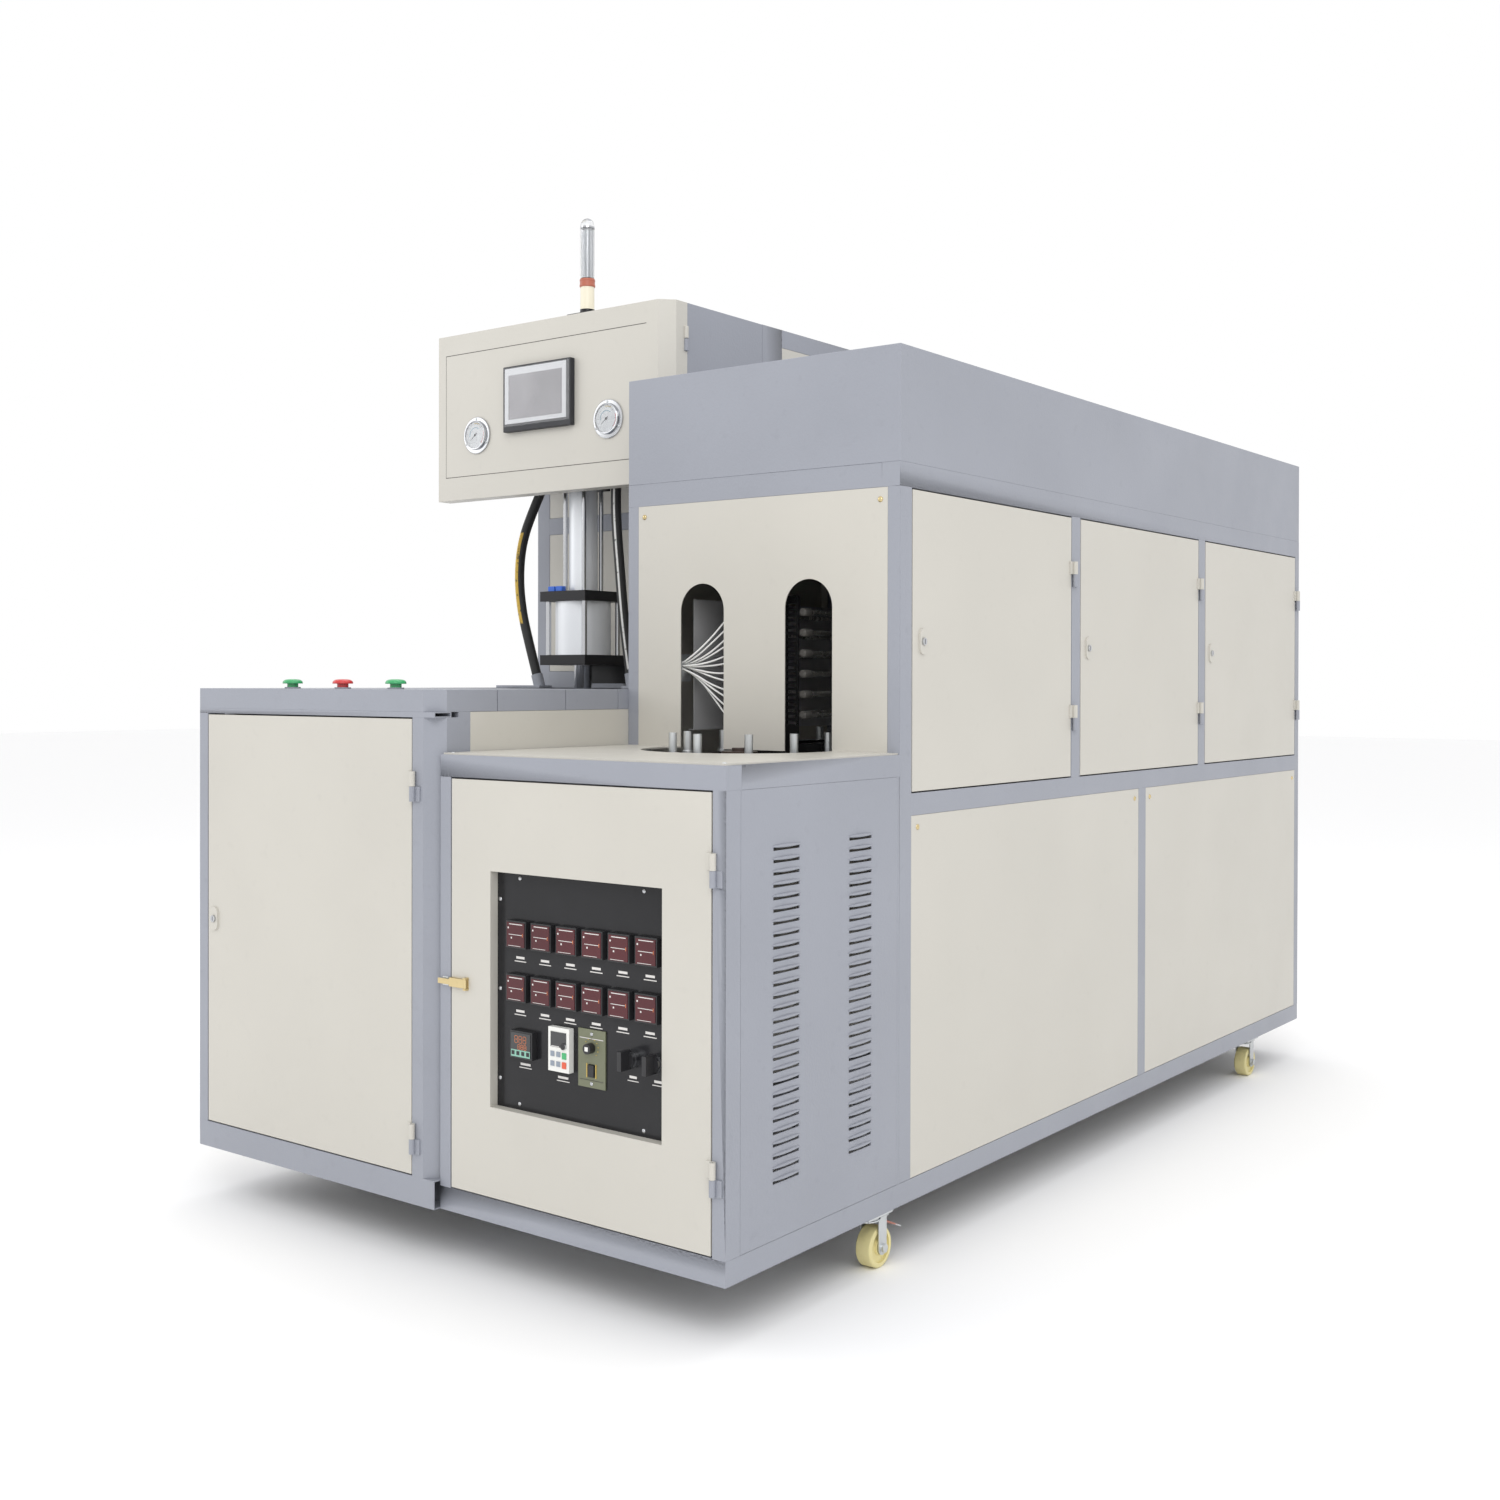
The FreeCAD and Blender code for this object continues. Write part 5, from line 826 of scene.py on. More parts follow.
def dressChain():
    low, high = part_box("conveyor_chain")
    middleZ = (low.z + high.z) / 2
    steps = list(chainPath())
    places, ways = [], []
    for offset in (-chain["sideOffset"], chain["sideOffset"]):
        for (x, y), (wayX, wayY) in steps:
            places.append((x - wayY * offset, y + wayX * offset, middleZ))
            ways.append((wayX, wayY, 0))
    links = repeated("chainLinks", "chain", places, "machine", "chainSteel",
                     {"Pitch": chain["pitch"] * chain["plateShare"],
                      "Thickness": chain["plateHeight"], "Height": chain["plateWall"] * 2},
                     ways)
    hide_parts("conveyor_chain")
    rollers = [(x, y, middleZ) for (x, y), _ in steps]
    repeated("chainRollers", "chain", rollers, "machine", "groundSteel",
             {"Pitch": chain["rollerHeight"], "Thickness": chain["rollerRadius"] * 2,
              "Height": chain["rollerRadius"] * 2}, (0, 0, 1))


dressChain()
print("oven and conveyor dressed")

# Casters and feet.

for place in ("left_front", "right_front", "left_rear", "right_rear"):
    dressNode(place + "_fork", always("zincPlate"), 0.0005)
    dressNode(place + "_wheel", always("nylonWheel"), 0.0006)
for place in ("left_front", "right_front"):
    dressNode(place + "_pedal", always("pedalPaint"), 0.0005)
dressNode("levelling_feet", always("zincPlate"), 0.0006)
print("casters and feet dressed")

# Locks, latch and buttons.

for nodeName in ("oven_lock_1", "oven_lock_2", "oven_lock_3", "host_door_lock"):
    dressNode(nodeName, always("chromePlate"), 0.0004)
dressNode("door_latch", always("brassNickel"), 0.0004)
for nodeName, finishName, slotName in (("left_start_button", "greenButton", "green_plastic"),
                                       ("stop_button", "redButton", "red_plastic"),
                                       ("right_start_button", "greenButton", "green_plastic")):
    dressNode(nodeName, always(finishName), 0.0006)

keyhole = {"slotWidth": 0.0016, "slotLength": 0.0095, "proud": 0.0003, "rise": 0.007}


def keySlot(name, nodeName, axis):
    low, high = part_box(nodeName)
    middle = (low + high) / 2
    middle.z = low.z + keyhole["rise"]
    middle[axis] = high.x if axis == 0 else low.y
    half = Vector((keyhole["slotWidth"], keyhole["slotWidth"], keyhole["slotLength"])) / 2
    half[axis] = keyhole["proud"] / 2
    addPiece(name, boxMesh(name, [(middle - half, middle + half, "blackPlastic")]),
             bodyOf(nodeName))


for number in (1, 2, 3):
    keySlot(f"ovenKeySlot{number}", f"oven_lock_{number}", 0)
keySlot("hostKeySlot", "host_door_lock", 1)
print("locks and buttons dressed")

# Screws.

screw = {
    "panel": {"Radius": 0.0055, "Rise": 0.0030},
    "small": {"Radius": 0.0040, "Rise": 0.0024},
    "table": {"Radius": 0.0040, "Rise": 0.0018},
    "inset": 0.022,
    "frontInset": 0.016,
    "tableInset": 0.012,
    "panelEdge": 0.014,
    "panelSpots": ((0.14, 0.975), (0.865, 0.975), (0.14, 0.025), (0.865, 0.025),
                   (0.018, 0.88), (0.018, 0.50), (0.018, 0.12),
                   (0.982, 0.88), (0.982, 0.50), (0.982, 0.12)),
}


def placeScrews():
    low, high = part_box("oven_front_panel")
    inset, side = screw["inset"], screw["frontInset"]
    places = [(x, low.y, high.z - inset) for x in (low.x + side, high.x - side)]
    repeated("ovenFrontScrews", "screws", places, "machine", "brassNickel", screw["panel"],
             (0, -1, 0))
    places, ways = [], []
    for low, high in islandBoxes("heater_panels"):
        size = high - low
        if size.z > 0.5 and size.y > 0.5 and size.x < 0.05 and high.z < 0.83:
            outward = 1 if high.x > 0.5 else -1
            x = high.x if outward > 0 else low.x
            places += [(x, y, high.z - inset) for y in (low.y + inset, high.y - inset)]
            ways += [(outward, 0, 0)] * 2
    repeated("sidePanelScrews", "screws", places, "machine", "brassNickel", screw["panel"],
             ways)
    low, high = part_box("control_panel")
    edge = screw["panelEdge"]
    width, height = high.x - low.x - 2 * edge, high.z - low.z - 2 * edge
    places = [(low.x + edge + width * across, low.y, low.z + edge + height * up)
              for across, up in screw["panelSpots"]]
    repeated("panelScrews", "screws", places, "control_door", "chromePlate", screw["small"],
             (0, -1, 0))
    low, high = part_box("table_top")
    inset = screw["tableInset"]
    places = [(high.x - inset, low.y + inset, high.z), (low.x + inset, low.y + inset, high.z)]
    repeated("tableScrews", "screws", places, "machine", "zincPlate", screw["table"],
             (0, 0, 1))


placeScrews()
print("screws placed")

# Louvres.

louvre = {"first": 0.134, "pitch": 0.0203, "count": 28, "slot": 0.005,
          "columns": ((0.126, 0.074), (0.350, 0.071)), "bulge": 0.0064, "height": 0.0092,
          "ovenFront": 0.515, "hoodLow": 1.363, "upShare": 0.22, "longer": 0.006}


def pressLouvres():
    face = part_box("louvre_panels")[1].x
    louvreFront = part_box("oven_front_panel")[0].y - louvre["ovenFront"]
    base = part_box("heater_hood")[0].z - louvre["hoodLow"]
    for number, (start, length) in enumerate(louvre["columns"], 1):
        lowest = (base + louvre["first"] + louvre["slot"]
                  + louvre["height"] * louvre["upShare"])
        places = [(face, louvreFront + start + length / 2, lowest + louvre["pitch"] * i)
                  for i in range(louvre["count"])]
        repeated(f"louvreHoods{number}", "louvres", places, "machine", "greyEnamel",
                 {"Length": length + louvre["longer"], "Bulge": louvre["height"],
                  "Height": louvre["bulge"]}, (0, 1, 0))


pressLouvres()
print("louvres pressed")

# Control panel instruments.

face = {"glass": 0.0005, "line": 0.0003, "step": 0.0004}


def plates(name, places, width, height, finishName, body="control_door", depth=None):
    repeated(name, "plates", places, body, finishName,
             {"Width": width, "Depth": depth or face["line"] * 2, "Height": height},
             (0, -1, 0))


def instrumentSolid(low, high, normal, centre):
    size = high - low
    width = round(size.x, 3)
    if width == 0.049:
        return "whitePlastic"
    if width == 0.062:
        return "oliveSheet"
    return "blackPlastic"


def dressPanel():
    dressNode("control_panel", always("panelBlack"), 0.0)
    dressNode("panel_instruments", instrumentSolid, 0.0007)
    boxes = islandBoxes("panel_instruments")
    squares = [b for b in boxes if abs(b[1].x - b[0].x - 0.048) < 0.0008
               and abs(b[1].z - b[0].z - 0.048) < 0.0008]
    meter = [b for b in boxes if abs(b[1].x - b[0].x - 0.054) < 0.0008][0]
    keypad = [b for b in boxes if abs(b[1].x - b[0].x - 0.049) < 0.0008][0]
    speed = [b for b in boxes if abs(b[1].x - b[0].x - 0.062) < 0.0008][0]

    def spot(box, across, up, step=0):
        size = box[1] - box[0]
        return (box[0].x + size.x * across, box[0].y - face["glass"] - face["step"] * step,
                box[0].z + size.z * up)

    plates("regulatorFaces", [spot(b, 0.5, 0.5) for b in squares], 0.0425, 0.0425,
           "regulatorRed", depth=face["glass"] * 2)
    plates("regulatorTops", [spot(b, 0.52, 0.88, 1) for b in squares], 0.032, 0.0014,
           "printWhite")
    plates("regulatorLines", [spot(b, 0.50, 0.50, 1) for b in squares], 0.032, 0.0010,
           "printWhite")
    plates("regulatorTicks", [spot(b, 0.86, 0.50, 1) for b in squares], 0.0012, 0.006,
           "displayOrange")
    plates("regulatorDots", [spot(b, 0.14, 0.74, 1) for b in squares]
           + [spot(b, 0.30, 0.38, 1) for b in squares], 0.0028, 0.0030, "printWhite")
    plates("regulatorFeet", [spot(b, 0.45, 0.09, 1) for b in squares], 0.030, 0.0008,
           "printWhite")

    plates("meterFace", [spot(meter, 0.5, 0.5)], 0.047, 0.042, "displayDark",
           depth=face["glass"] * 2)
    plates("meterBase", [spot(meter, 0.5, 0.19, 1)], 0.046, 0.012, "tealBase")
    plates("meterKeys", [spot(meter, 0.17 + 0.22 * i, 0.20, 2) for i in range(4)],
           0.0070, 0.0070, "blackPlastic")
    bars, posts = digitBars(meter, spot)
    for name, (places, width, height) in {**bars, **posts}.items():
        plates(name, places, width, height, "displayOrange")

    plates("keypadDisplay", [spot(keypad, 0.5, 0.73)], 0.036, 0.026, "displayDark",
           depth=face["glass"] * 2)
    plates("keypadLines", [spot(keypad, 0.36, 0.575, 1)], 0.018, 0.0012, "printWhite")
    dial = spot(keypad, 0.76, 0.60, 1)
    profile = ((0, 0.0008, 0), (0.0058, 0.0008, 0), (0.0058, 0.0035, 0), (0.0050, 0.0042, 1),
               (0, 0.0042, 1))
    addTurned("keypadDial", profile, (0, -1, 0), (dial[0], dial[1] + 0.001, dial[2]),
              ("chromePlate", "blackPlastic"), 32, "control_door")
    plates("greyKeys", [spot(keypad, x, z, 1) for x, z in
                        ((0.22, 0.40), (0.50, 0.40), (0.22, 0.18), (0.50, 0.18))],
           0.0088, 0.0088, "greyKey")
    plates("greenKey", [spot(keypad, 0.78, 0.38, 1)], 0.0098, 0.0110, "greenKey")
    plates("orangeKey", [spot(keypad, 0.78, 0.17, 1)], 0.0098, 0.0110, "orangeKey")

    plates("speedLine", [spot(speed, 0.5, 0.845)], 0.054, 0.0012, "printWhite")
    plates("speedFootLine", [spot(speed, 0.5, 0.13)], 0.054, 0.0006, "seamShadow")
    lowRocker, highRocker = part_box("fan_rocker")
    for side, x in (("Left", lowRocker.x - 0.0032), ("Right", highRocker.x + 0.0032)):
        plates(f"rockerEdge{side}", [(x, speed[0].y - face["glass"],
                                      (lowRocker.z + highRocker.z) / 2)],
               0.0018, 0.0240, "printYellow")
    knobLow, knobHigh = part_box("speed_knob")
    knobX, knobZ = (knobLow.x + knobHigh.x) / 2, (knobLow.z + knobHigh.z) / 2
    ticks = [(knobX + 0.0155 * math.sin(math.radians(a)), speed[0].y - face["glass"],
              knobZ + 0.0155 * math.cos(math.radians(a))) for a in range(-135, 136, 27)]
    plates("speedTicks", ticks, 0.0014, 0.0014, "printYellow")
    repeated("speedPlateScrews", "screws",
             [(spot(speed, 0.5, up)[0], speed[0].y, spot(speed, 0.5, up)[2])
              for up in (0.92, 0.07)], "control_door", "chromePlate",
             {"Radius": 0.0036, "Rise": 0.0018}, (0, -1, 0))
    addCaptions("regulator", [(b[0] + b[1]) / 2 for b in squares], "s")
    for name, box in (("meter", meter), ("keypad", keypad),
                      ("left_selector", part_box("left_selector")),
                      ("right_selector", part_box("right_selector"))):
        addCaptions(name, [Vector(((box[0].x + box[1].x) / 2, 0, box[0].z))])


caption = {  # drop, width and height of the upper bar, then of the lower one
    "regulator": ((0.042, 0.020, 0.0042), (0.0485, 0.028, 0.0016)),
    "meter": ((0.012, 0.024, 0.0040), (0.0182, 0.030, 0.0014)),
    "keypad": ((0.012, 0.024, 0.0040), (0.0182, 0.030, 0.0014)),
    "left_selector": ((0.016, 0.016, 0.0042), (0.0225, 0.024, 0.0014)),
    "right_selector": ((0.016, 0.016, 0.0042), (0.0225, 0.024, 0.0014)),
}
captionLift = {"proud": 0.0002, "depth": 0.0004}


def addCaptions(name, spots, ending=""):
    # Plain bars under an instrument, where a machine carries its captions.
    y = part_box("control_panel")[0].y - captionLift["proud"]
    for kind, (drop, width, height) in zip(("Label", "Sublabel"), caption[name]):
        plates(name + kind + ending, [(at.x, y, at.z - drop) for at in spots], width, height,
               "printWhite", depth=captionLift["depth"])


def digitBars(meter, spot):
    # Two rows of three figure-eight digits, as flat bars and posts.
    bars, posts = {}, {}
    for row, (left, up, wide, tall) in enumerate(((0.24, 0.70, 0.0070, 0.0120),
                                                  (0.38, 0.43, 0.0052, 0.0082)), 1):
        flat, upright = [], []
        for i in range(3):
            x, y, z = spot(meter, left, up, 1)
            x = x + (wide * 1.45) * i
            flat += [(x + wide / 2, y, z + tall * part) for part in (-0.5, 0, 0.5)]
            upright += [(x + wide * side, y, z + tall * part)
                        for side in (0, 1) for part in (-0.25, 0.25)]
        bars[f"digitBars{row}"] = (flat, wide * 0.8, 0.0009)
        posts[f"digitPosts{row}"] = (upright, 0.0009, tall * 0.42)
    return bars, posts


dressPanel()


def selectorPart(low, high, normal, centre):
    onGrip = abs(centre.x - (low.x + high.x) / 2) < 0.0047 and centre.y < low.y + 0.024
    return "blackPlastic" if onGrip or normal.y < -0.7 else "chromePlate"


for nodeName in ("left_selector", "right_selector"):
    dressNode(nodeName, selectorPart, 0.0009)
dressNode("speed_knob", always("blackPlastic"), 0.0008)
dressNode("fan_rocker", always("blackPlastic"), 0.0006)
knobLow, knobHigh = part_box("speed_knob")
plates("knobDot", [((knobLow.x + knobHigh.x) / 2, knobLow.y - 0.0002,
                    (knobLow.z + knobHigh.z) / 2)], 0.0072, 0.0072, "whitePlastic",
       "speed_knob", 0.0006)
print("control panel dressed")

# Head: lid, screen, gauges.

lid = {"seamLeft": 0.026, "seamRight": 0.651, "seamLow": 0.054, "seamHigh": 0.342,
       "seamWidth": 0.0016, "seamProud": 0.0002, "hingeRadius": 0.0055, "hingeLength": 0.026,
       "hingeLow": 0.285}


def dressLid():
    low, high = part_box("head_lid")
    left, right = low.x + lid["seamLeft"], low.x + lid["seamRight"]
    bottom, top = low.z + lid["seamLow"], low.z + lid["seamHigh"]
    wide, proud = lid["seamWidth"], lid["seamProud"]
    frontY, backY = low.y - proud, low.y + proud
    parts = [((left, frontY, z), (right, backY, z + wide), "seamShadow")
             for z in (bottom, top)]
    parts.append(((left, frontY, bottom), (left + wide * 0.6, backY, top), "seamShadow"))
    addPiece("lidSeam", boxMesh("lidSeam", parts), "machine")
    x = high.x + lid["hingeRadius"] * 0.2
    for name, z, colour in (("lidHingeUpper", lid["hingeLow"] + lid["hingeLength"] + 0.001,
                             "creamCoat"), ("lidHingeLower", lid["hingeLow"], "greyEnamel")):
        radius = lid["hingeRadius"]
        start = low.z + z
        profile = ((0, 0, 0), (radius * 0.8, 0, 0), (radius, 0.001, 0),
                   (radius, lid["hingeLength"] - 0.001, 0),
                   (radius * 0.8, lid["hingeLength"], 0), (0, lid["hingeLength"], 0))
        addTurned(name, profile, (0, 0, 1), (x, high.y - 0.006, start), (colour,),
                  24)


dressLid()

screen = {"border": 0.011, "frame": 0.012, "rows": 14, "columns": 20,
          "filmThickness": 0.00018}


def dressScreen():
    dressNode("operator_screen", always("darkBorder"), 0.0016)
    low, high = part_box("operator_screen")
    y = low.y
    border = screen["border"]
    left, right = low.x + border * 0.6, high.x - border * 1.1
    bottom, top = low.z + border * 1.6, high.z - border * 0.5
    inset = screen["frame"]
    parts = [((left, y - 0.0010, bottom), (right, y + 0.0004, top), "screenFrame"),
             ((left + inset, y - 0.0014, bottom + inset * 0.8),
              (right - inset, y - 0.0002, top - inset * 1.3), "screenGrey")]
    addPiece("screenFace", boxMesh("screenFace", parts, 0.0006), "machine")
    rows, columns = screen["rows"], screen["columns"]
    work = bmesh.new()
    grid = []
    for i in range(rows + 1):
        line = []
        for j in range(columns + 1):
            u, v = j / columns, i / rows
            wave = 0.0009 * math.sin(7 * u + 3 * v) * math.sin(5 * v + 1.3) + 0.0004
            edge = min(u, 1 - u, v, 1 - v)
            lift = 0.0022 * min(1, edge * 9) + abs(wave) * min(1, edge * 6)
            line.append(work.verts.new((low.x + 0.003 + (high.x - low.x - 0.006) * u,
                                        y - 0.0002 - lift,
                                        low.z + 0.012 + (high.z - low.z - 0.015) * v)))
        grid.append(line)
    for i in range(rows):
        for j in range(columns):
            work.faces.new((grid[i][j], grid[i][j + 1], grid[i + 1][j + 1], grid[i + 1][j]))
    bmesh.ops.solidify(work, geom=work.faces[:], thickness=screen["filmThickness"])
    mesh = closeMesh("screenFilm", work, [finish["screenFilm"]])
    mesh.shade_smooth()
    addPiece("screenFilm", mesh, "machine")


dressScreen()

gauge = {
    "tickRadius": 0.0245, "pointer": 0.0195, "sweep": 270, "ticks": 31, "pointerTurn": -128,
    "arcStep": 4,
    "arcs": {  # radius, first and last angle, width, finish
        "HighArc": (0.0272, 72, 136, 0.0017, "redButton"),
        "MidArc": (0.0272, -6, 32, 0.0015, "printYellow"),
        "InnerArc": (0.0175, -96, 40, 0.0013, "dialBlue"),
    },
}


def dressGauge(name, low, high):
    # Stepped chrome flange with three bolts, white face with marks, pointer and glass.
    middle = Vector(((low.x + high.x) / 2, low.y, (low.z + high.z) / 2))
    rim = high.x - middle.x
    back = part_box("head_lid")[0].y - 0.0001
    flange = ((rim - 0.003, 0, 0), (rim, 0.0006, 0), (rim, 0.0032, 0), (rim - 0.0014, 0.0040, 0),
              (0.0345, 0.0042, 0), (0.0336, 0.0092, 0), (0.0322, 0.0102, 0), (0.0306, 0.0100, 0),
              (0.0300, 0.0070, 0), (0, 0.0070, 1))
    place = (middle.x, back, middle.z)
    addTurned(name + "Body", flange, (0, -1, 0), place, ("chromePlate", "dialWhite"),
              64)
    faceY = back - 0.0072
    angles = [math.radians(-135 + gauge["sweep"] * i / (gauge["ticks"] - 1))
              for i in range(gauge["ticks"])]

    def around(radius, angle, y=faceY):
        return (middle.x + radius * math.sin(angle), y, middle.z + radius * math.cos(angle))

    long = [around(gauge["tickRadius"], a) for i, a in enumerate(angles) if i % 5 == 0]
    short = [around(gauge["tickRadius"] + 0.001, a) for i, a in enumerate(angles) if i % 5]
    marks = {"LongTicks": (long, 0.0013, "blackPlastic"),
             "Ticks": (short, 0.0006, "blackPlastic")}
    for part, (radius, first, last, width, finishName) in gauge["arcs"].items():
        turns = [math.radians(a) for a in range(first, last, gauge["arcStep"])]
        marks[part] = ([around(radius, turn) for turn in turns], width, finishName)
    for part, (places, width, finishName) in marks.items():
        plates(name + part, places, width, width, finishName, "machine", 0.0004)
    work = bmesh.new()
    tip = Vector(around(gauge["pointer"], math.radians(gauge["pointerTurn"]), faceY - 0.0006))
    tail = Vector(around(-0.0065, math.radians(gauge["pointerTurn"]), faceY - 0.0006))
    across = (tip - tail).normalized().cross(Vector((0, 1, 0))) * 0.0011
    corners = [tail + across, tail - across, tip - across * 0.25, tip + across * 0.25]
    front = [work.verts.new(c + Vector((0, -0.0004, 0))) for c in corners]
    rear = [work.verts.new(c) for c in corners]
    work.faces.new(front)
    work.faces.new(rear[::-1])
    for i in range(4):
        work.faces.new((front[i], rear[i], rear[(i + 1) % 4], front[(i + 1) % 4]))
    mesh = closeMesh(name + "Pointer", work, [finish["blackPlastic"]])
    addPiece(name + "Pointer", mesh, "machine")
    hub = ((0, 0, 0), (0.0028, 0, 0), (0.0026, 0.0016, 0), (0, 0.0019, 0))
    addTurned(name + "Hub", hub, (0, -1, 0), (middle.x, faceY, middle.z), ("blackPlastic",),
              20)
    bolts = [around(0.0378, math.radians(a), back - 0.004) for a in (0, 120, 240)]
    repeated(name + "Bolts", "screws", bolts, "machine", "zincPlate",
             {"Radius": 0.0030, "Rise": 0.0020}, (0, -1, 0))
    pane = ((0, 0, 0), (0.0299, 0, 0), (0.0299, 0.0008, 0), (0, 0.0012, 0))
    return addTurned(name + "Glass", pane, (0, -1, 0), (middle.x, back - 0.0088, middle.z),
                     ("clearPane",))


gaugeBoxes = sorted(islandBoxes("pressure_gauges"), key=lambda pair: pair[0].x)
for name, (low, high) in zip(("leftGauge", "rightGauge"), gaugeBoxes):
    glass = dressGauge(name, low, high)
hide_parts("pressure_gauges")
print("head dressed")

# Signal lamp.

signal = {"capSteps": 8, "ribs": 18, "ribWidth": 0.0012, "stemRadius": 0.016,
          "ringRadius": 0.0175, "levels": (0.005, 0.063, 0.081, 0.193, 0.217)}


def dressSignal():
    low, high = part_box("signal_lamp")
    levels = [low.z + step for step in signal["levels"]]
    centre = high.x - signal["ringRadius"]
    radius = signal["stemRadius"]
    middle = Vector((centre, (low.y + high.y) / 2, 0))
    plateTop = Vector((centre + radius, high.y, levels[0]))
    base = addPiece("signalBase", boxMesh("signalBase", [(low, plateTop, "blackOxide")],
                                          0.001), "machine")
    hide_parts("signal_lamp")

    def turned(name, profile, z, finishNames):
        addTurned(name, profile, (0, 0, 1), (middle.x, middle.y, z), finishNames,
                  64)

    tall = levels[1] - levels[0]
    turned("signalStem", ((0, 0, 0), (radius * 1.02, 0, 0), (radius * 1.02, 0.008, 0),
                          (radius * 0.98, 0.009, 1), (radius * 0.97, tall, 1), (0, tall, 1)),
           levels[0], ("blackOxide", "lampBeige"))
    ringRadius = signal["ringRadius"]
    tall = levels[2] - levels[1]
    turned("signalRing", ((0, 0, 0), (ringRadius * 0.95, 0, 0), (ringRadius, 0.0015, 0),
                          (ringRadius, 0.005, 0), (ringRadius * 0.96, 0.006, 0),
                          (ringRadius * 0.96, tall - 0.005, 0), (ringRadius, tall - 0.004, 0),
                          (ringRadius * 0.95, tall, 0), (0, tall, 0)), levels[1], ("lampRing",))
    tall = levels[3] - levels[2]
    turned("signalLens", ((0, 0, 0), (radius * 0.96, 0, 0), (radius * 0.97, tall, 0),
                          (radius * 0.86, tall, 0), (radius * 0.85, 0.002, 0), (0, 0.002, 0)),
           levels[2], ("clearTube",))
    ribs = []
    for i in range(signal["ribs"]):
        turn = 2 * math.pi * i / signal["ribs"]
        ribs.append((middle.x + radius * 0.78 * math.cos(turn),
                     middle.y + radius * 0.78 * math.sin(turn), (levels[2] + levels[3]) / 2))
    repeated("signalRibs", "chain", ribs, "machine", "groundSteel",
             {"Pitch": tall - 0.008, "Thickness": signal["ribWidth"],
              "Height": signal["ribWidth"]}, (0, 0, 1))
    turned("signalCore", ((0, 0, 0), (radius * 0.42, 0, 0), (radius * 0.42, tall - 0.006, 0),
                          (0, tall - 0.004, 0)), levels[2] + 0.003, ("groundSteel",))
    tall = levels[4] - levels[3]
    dome = [(0, 0, 0), (radius * 0.99, 0, 0), (radius * 0.99, tall * 0.28, 0)]
    for i in range(1, signal["capSteps"] + 1):
        turn = math.pi / 2 * i / signal["capSteps"]
        dome.append((radius * 0.97 * math.cos(turn), tall * (0.28 + 0.70 * math.sin(turn)), 0))
    dome[-1] = (0, tall * 0.98, 0)
    turned("signalCap", dome, levels[3], ("clearTube",))
    turned("signalCollar", ((0, 0, 0), (radius, 0, 0), (radius, 0.004, 0), (0, 0.004, 0)),
           levels[3] + 0.0005, ("chromePlate",))


dressSignal()
print("signal lamp dressed")

# Hoses and lamp leads.

route = {
    "corner": (-0.6905, -1.3170, 0.105),
    "left": ((0.1475, 0.850, 1.4439), (0.113, 0.848, 1.385), (0.074, 0.846, 1.306),
             (0.062, 0.846, 1.220), (0.070, 0.848, 1.134), (0.093, 0.850, 1.054),
             (0.119, 0.851, 0.976)),
    "right": ((0.494, 0.722, 1.4492), (0.492, 0.720, 1.374), (0.498, 0.718, 1.294),
              (0.507, 0.718, 1.212), (0.514, 0.719, 1.132), (0.524, 0.720, 1.054),
              (0.537, 0.721, 0.978)),
    "hoseDiameter": 0.023,
    "leadDiameter": 0.0036,
    "leadCorner": (0.0210, -1.3170, 0.105),
}


def cordCurve(name, points, diameter, material, steps=16):
    curve = bpy.data.curves.new(name, "CURVE")
    curve.dimensions = "3D"
    curve.bevel_depth = diameter / 2
    curve.bevel_resolution = 6
    curve.resolution_u = steps
    curve.use_fill_caps = True
    line = curve.splines.new("NURBS")
    line.points.add(len(points) - 1)
    for point, place in zip(line.points, points):
        point.co = (*place, 1)
    line.order_u = 3
    line.use_endpoint_u = True
    curve.materials.append(material)
    item = bpy.data.objects.new(name, curve)
    bpy.context.scene.collection.objects.link(item)
    return item


def moved(points, corner):
    return [tuple(a + b for a, b in zip(point, corner)) for point in points]


for side, length, finishName in (("left", 0.4939, "leftHose"), ("right", 0.4740, "rightHose")):
    points = moved(route[side], route["corner"])
    hose = cordCurve(side + "Hose", points, route["hoseDiameter"], finish[finishName])
    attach(hose, "machine")
    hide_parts(side + "_hose")

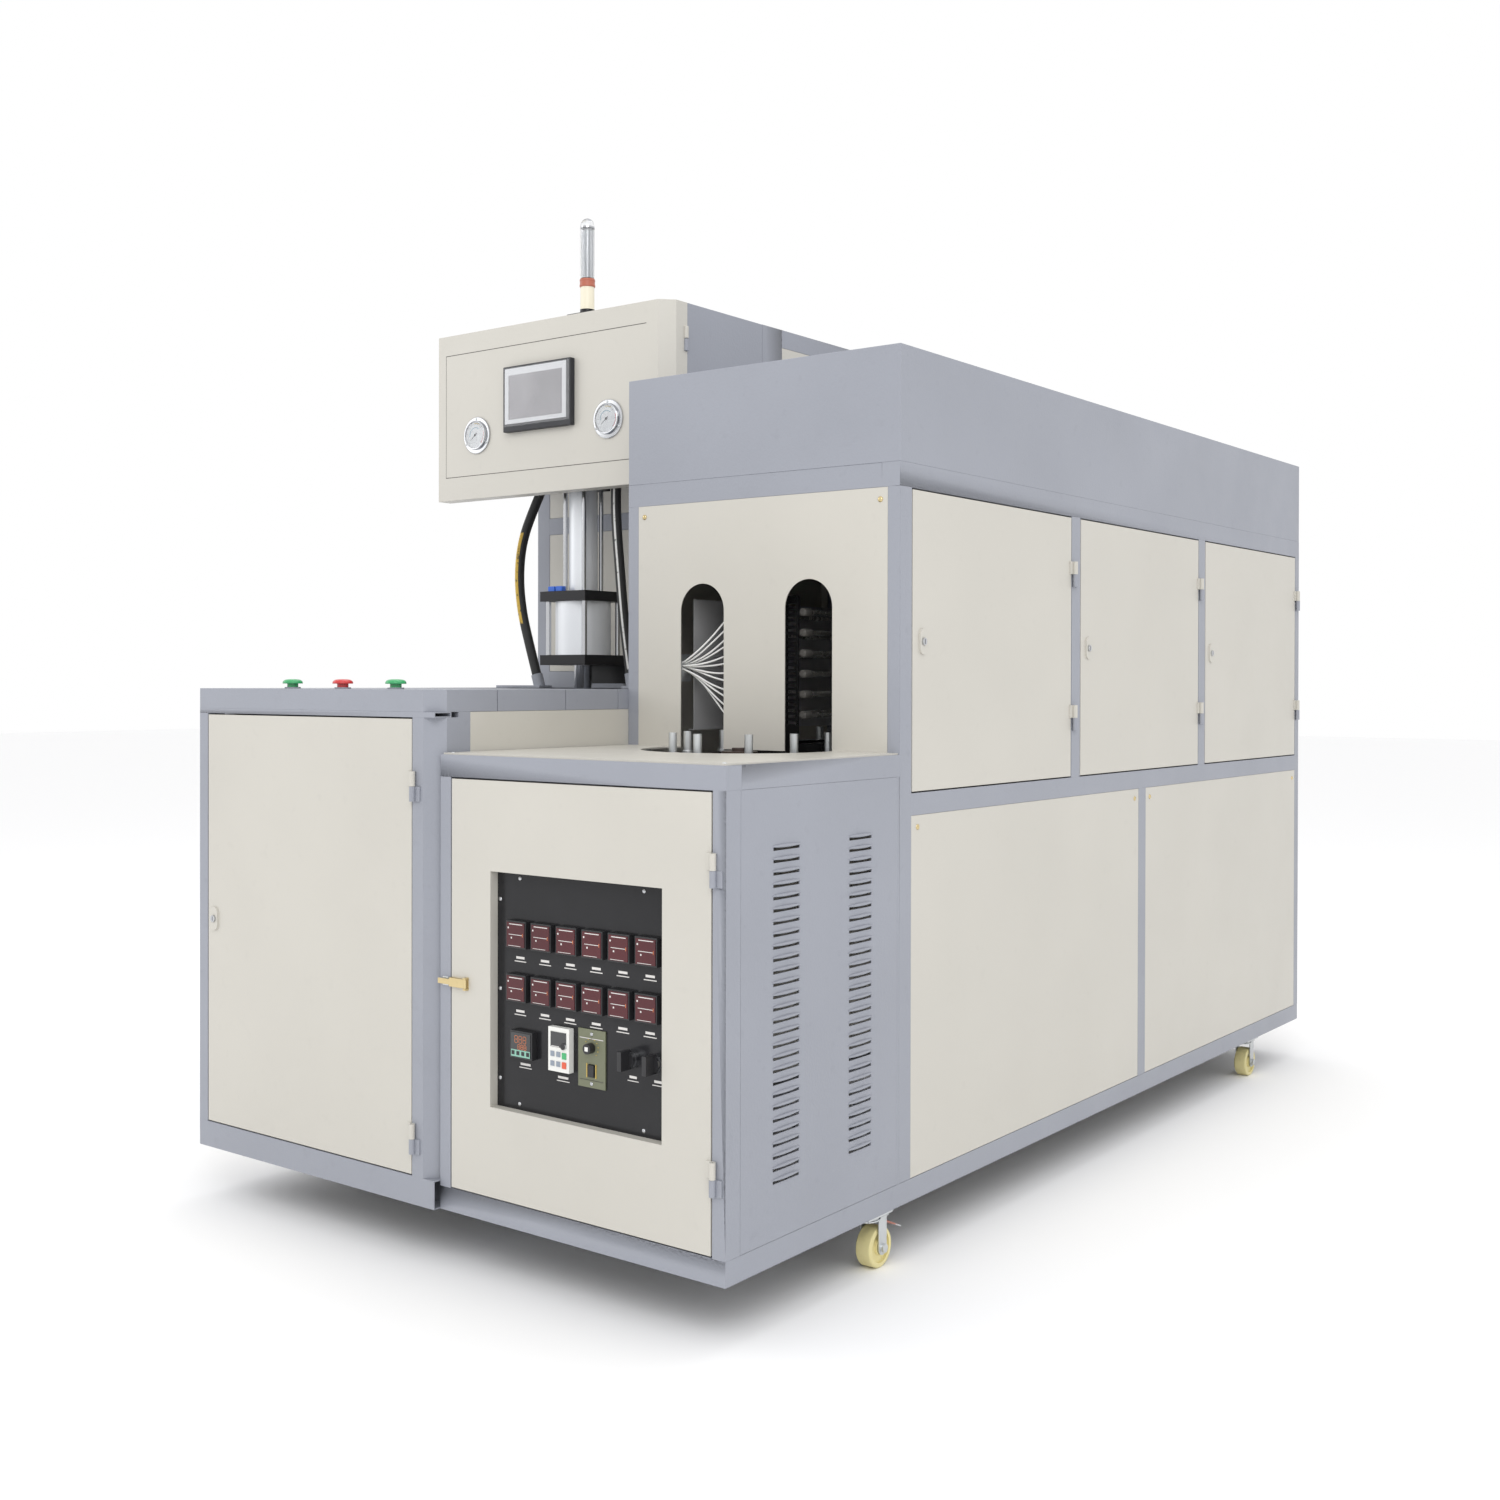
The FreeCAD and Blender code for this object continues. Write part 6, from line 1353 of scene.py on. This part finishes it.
leads = (
    ((0.133, 0.53, 0.998), (0.158, 0.528, 1.0095), (0.196, 0.545, 1.0483),
     (0.2334, 0.554, 1.0912), (0.2592, 0.5575, 1.106)),
    ((0.133, 0.536, 0.9964), (0.158, 0.537, 1.006), (0.196, 0.547, 1.0382),
     (0.2365, 0.554, 1.0731), (0.2644, 0.5575, 1.085)),
    ((0.133, 0.542, 0.9948), (0.158, 0.541, 1.0002), (0.196, 0.55, 1.022),
     (0.2342, 0.554, 1.052), (0.2602, 0.5575, 1.064)),
    ((0.133, 0.548, 0.9932), (0.158, 0.546, 0.9979), (0.196, 0.551, 1.0149),
     (0.2323, 0.554, 1.0354), (0.2654, 0.5575, 1.043)),
    ((0.133, 0.53, 0.9916), (0.158, 0.534, 0.9921), (0.196, 0.542, 0.999),
     (0.2358, 0.554, 1.0145), (0.2595, 0.5575, 1.022)),
    ((0.133, 0.536, 0.99), (0.158, 0.539, 0.9897), (0.196, 0.549, 0.9913),
     (0.2354, 0.554, 0.9976), (0.2648, 0.5575, 1.001)),
    ((0.133, 0.542, 0.9884), (0.158, 0.54, 0.9841), (0.196, 0.552, 0.976),
     (0.2346, 0.554, 0.9769), (0.2634, 0.5575, 0.98)),
    ((0.133, 0.548, 0.9868), (0.158, 0.547, 0.9812), (0.196, 0.55, 0.9674),
     (0.2338, 0.554, 0.9596), (0.2587, 0.5575, 0.959)),
    ((0.133, 0.53, 0.9852), (0.158, 0.534, 0.9761), (0.196, 0.544, 0.9531),
     (0.236, 0.554, 0.9394), (0.2581, 0.5575, 0.938)),
    ((0.133, 0.536, 0.9836), (0.158, 0.539, 0.974), (0.196, 0.545, 0.9463),
     (0.2361, 0.554, 0.923), (0.2621, 0.5575, 0.917)),
    ((0.133, 0.542, 0.982), (0.158, 0.544, 0.9697), (0.196, 0.548, 0.9341),
     (0.2336, 0.554, 0.9039), (0.2593, 0.5575, 0.896)),
    ((0.133, 0.548, 0.9804), (0.158, 0.552, 0.9661), (0.196, 0.555, 0.9236),
     (0.2313, 0.554, 0.8856), (0.2584, 0.5575, 0.875)),
)


def curveLength(points):
    # Length of the finished line, measured on the curve itself.
    probe = cordCurve("probe", points, 0.0, finish["wireWhite"])
    graph = bpy.context.evaluated_depsgraph_get()
    mesh = bpy.data.meshes.new_from_object(probe.evaluated_get(graph))
    total = sum((mesh.vertices[a].co - mesh.vertices[b].co).length
                for a, b in (edge.vertices for edge in mesh.edges))
    bpy.data.objects.remove(probe)
    return total


for number, lead in enumerate(leads, 1):
    points = moved(lead, route["leadCorner"])
    length = curveLength(points)
    wire = cordCurve(f"lampLead{number}", points, route["leadDiameter"], finish["wireWhite"], 12)
    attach(wire, "machine")
    if number == 1:
        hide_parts("lamp_wires")
print("hoses and leads laid")
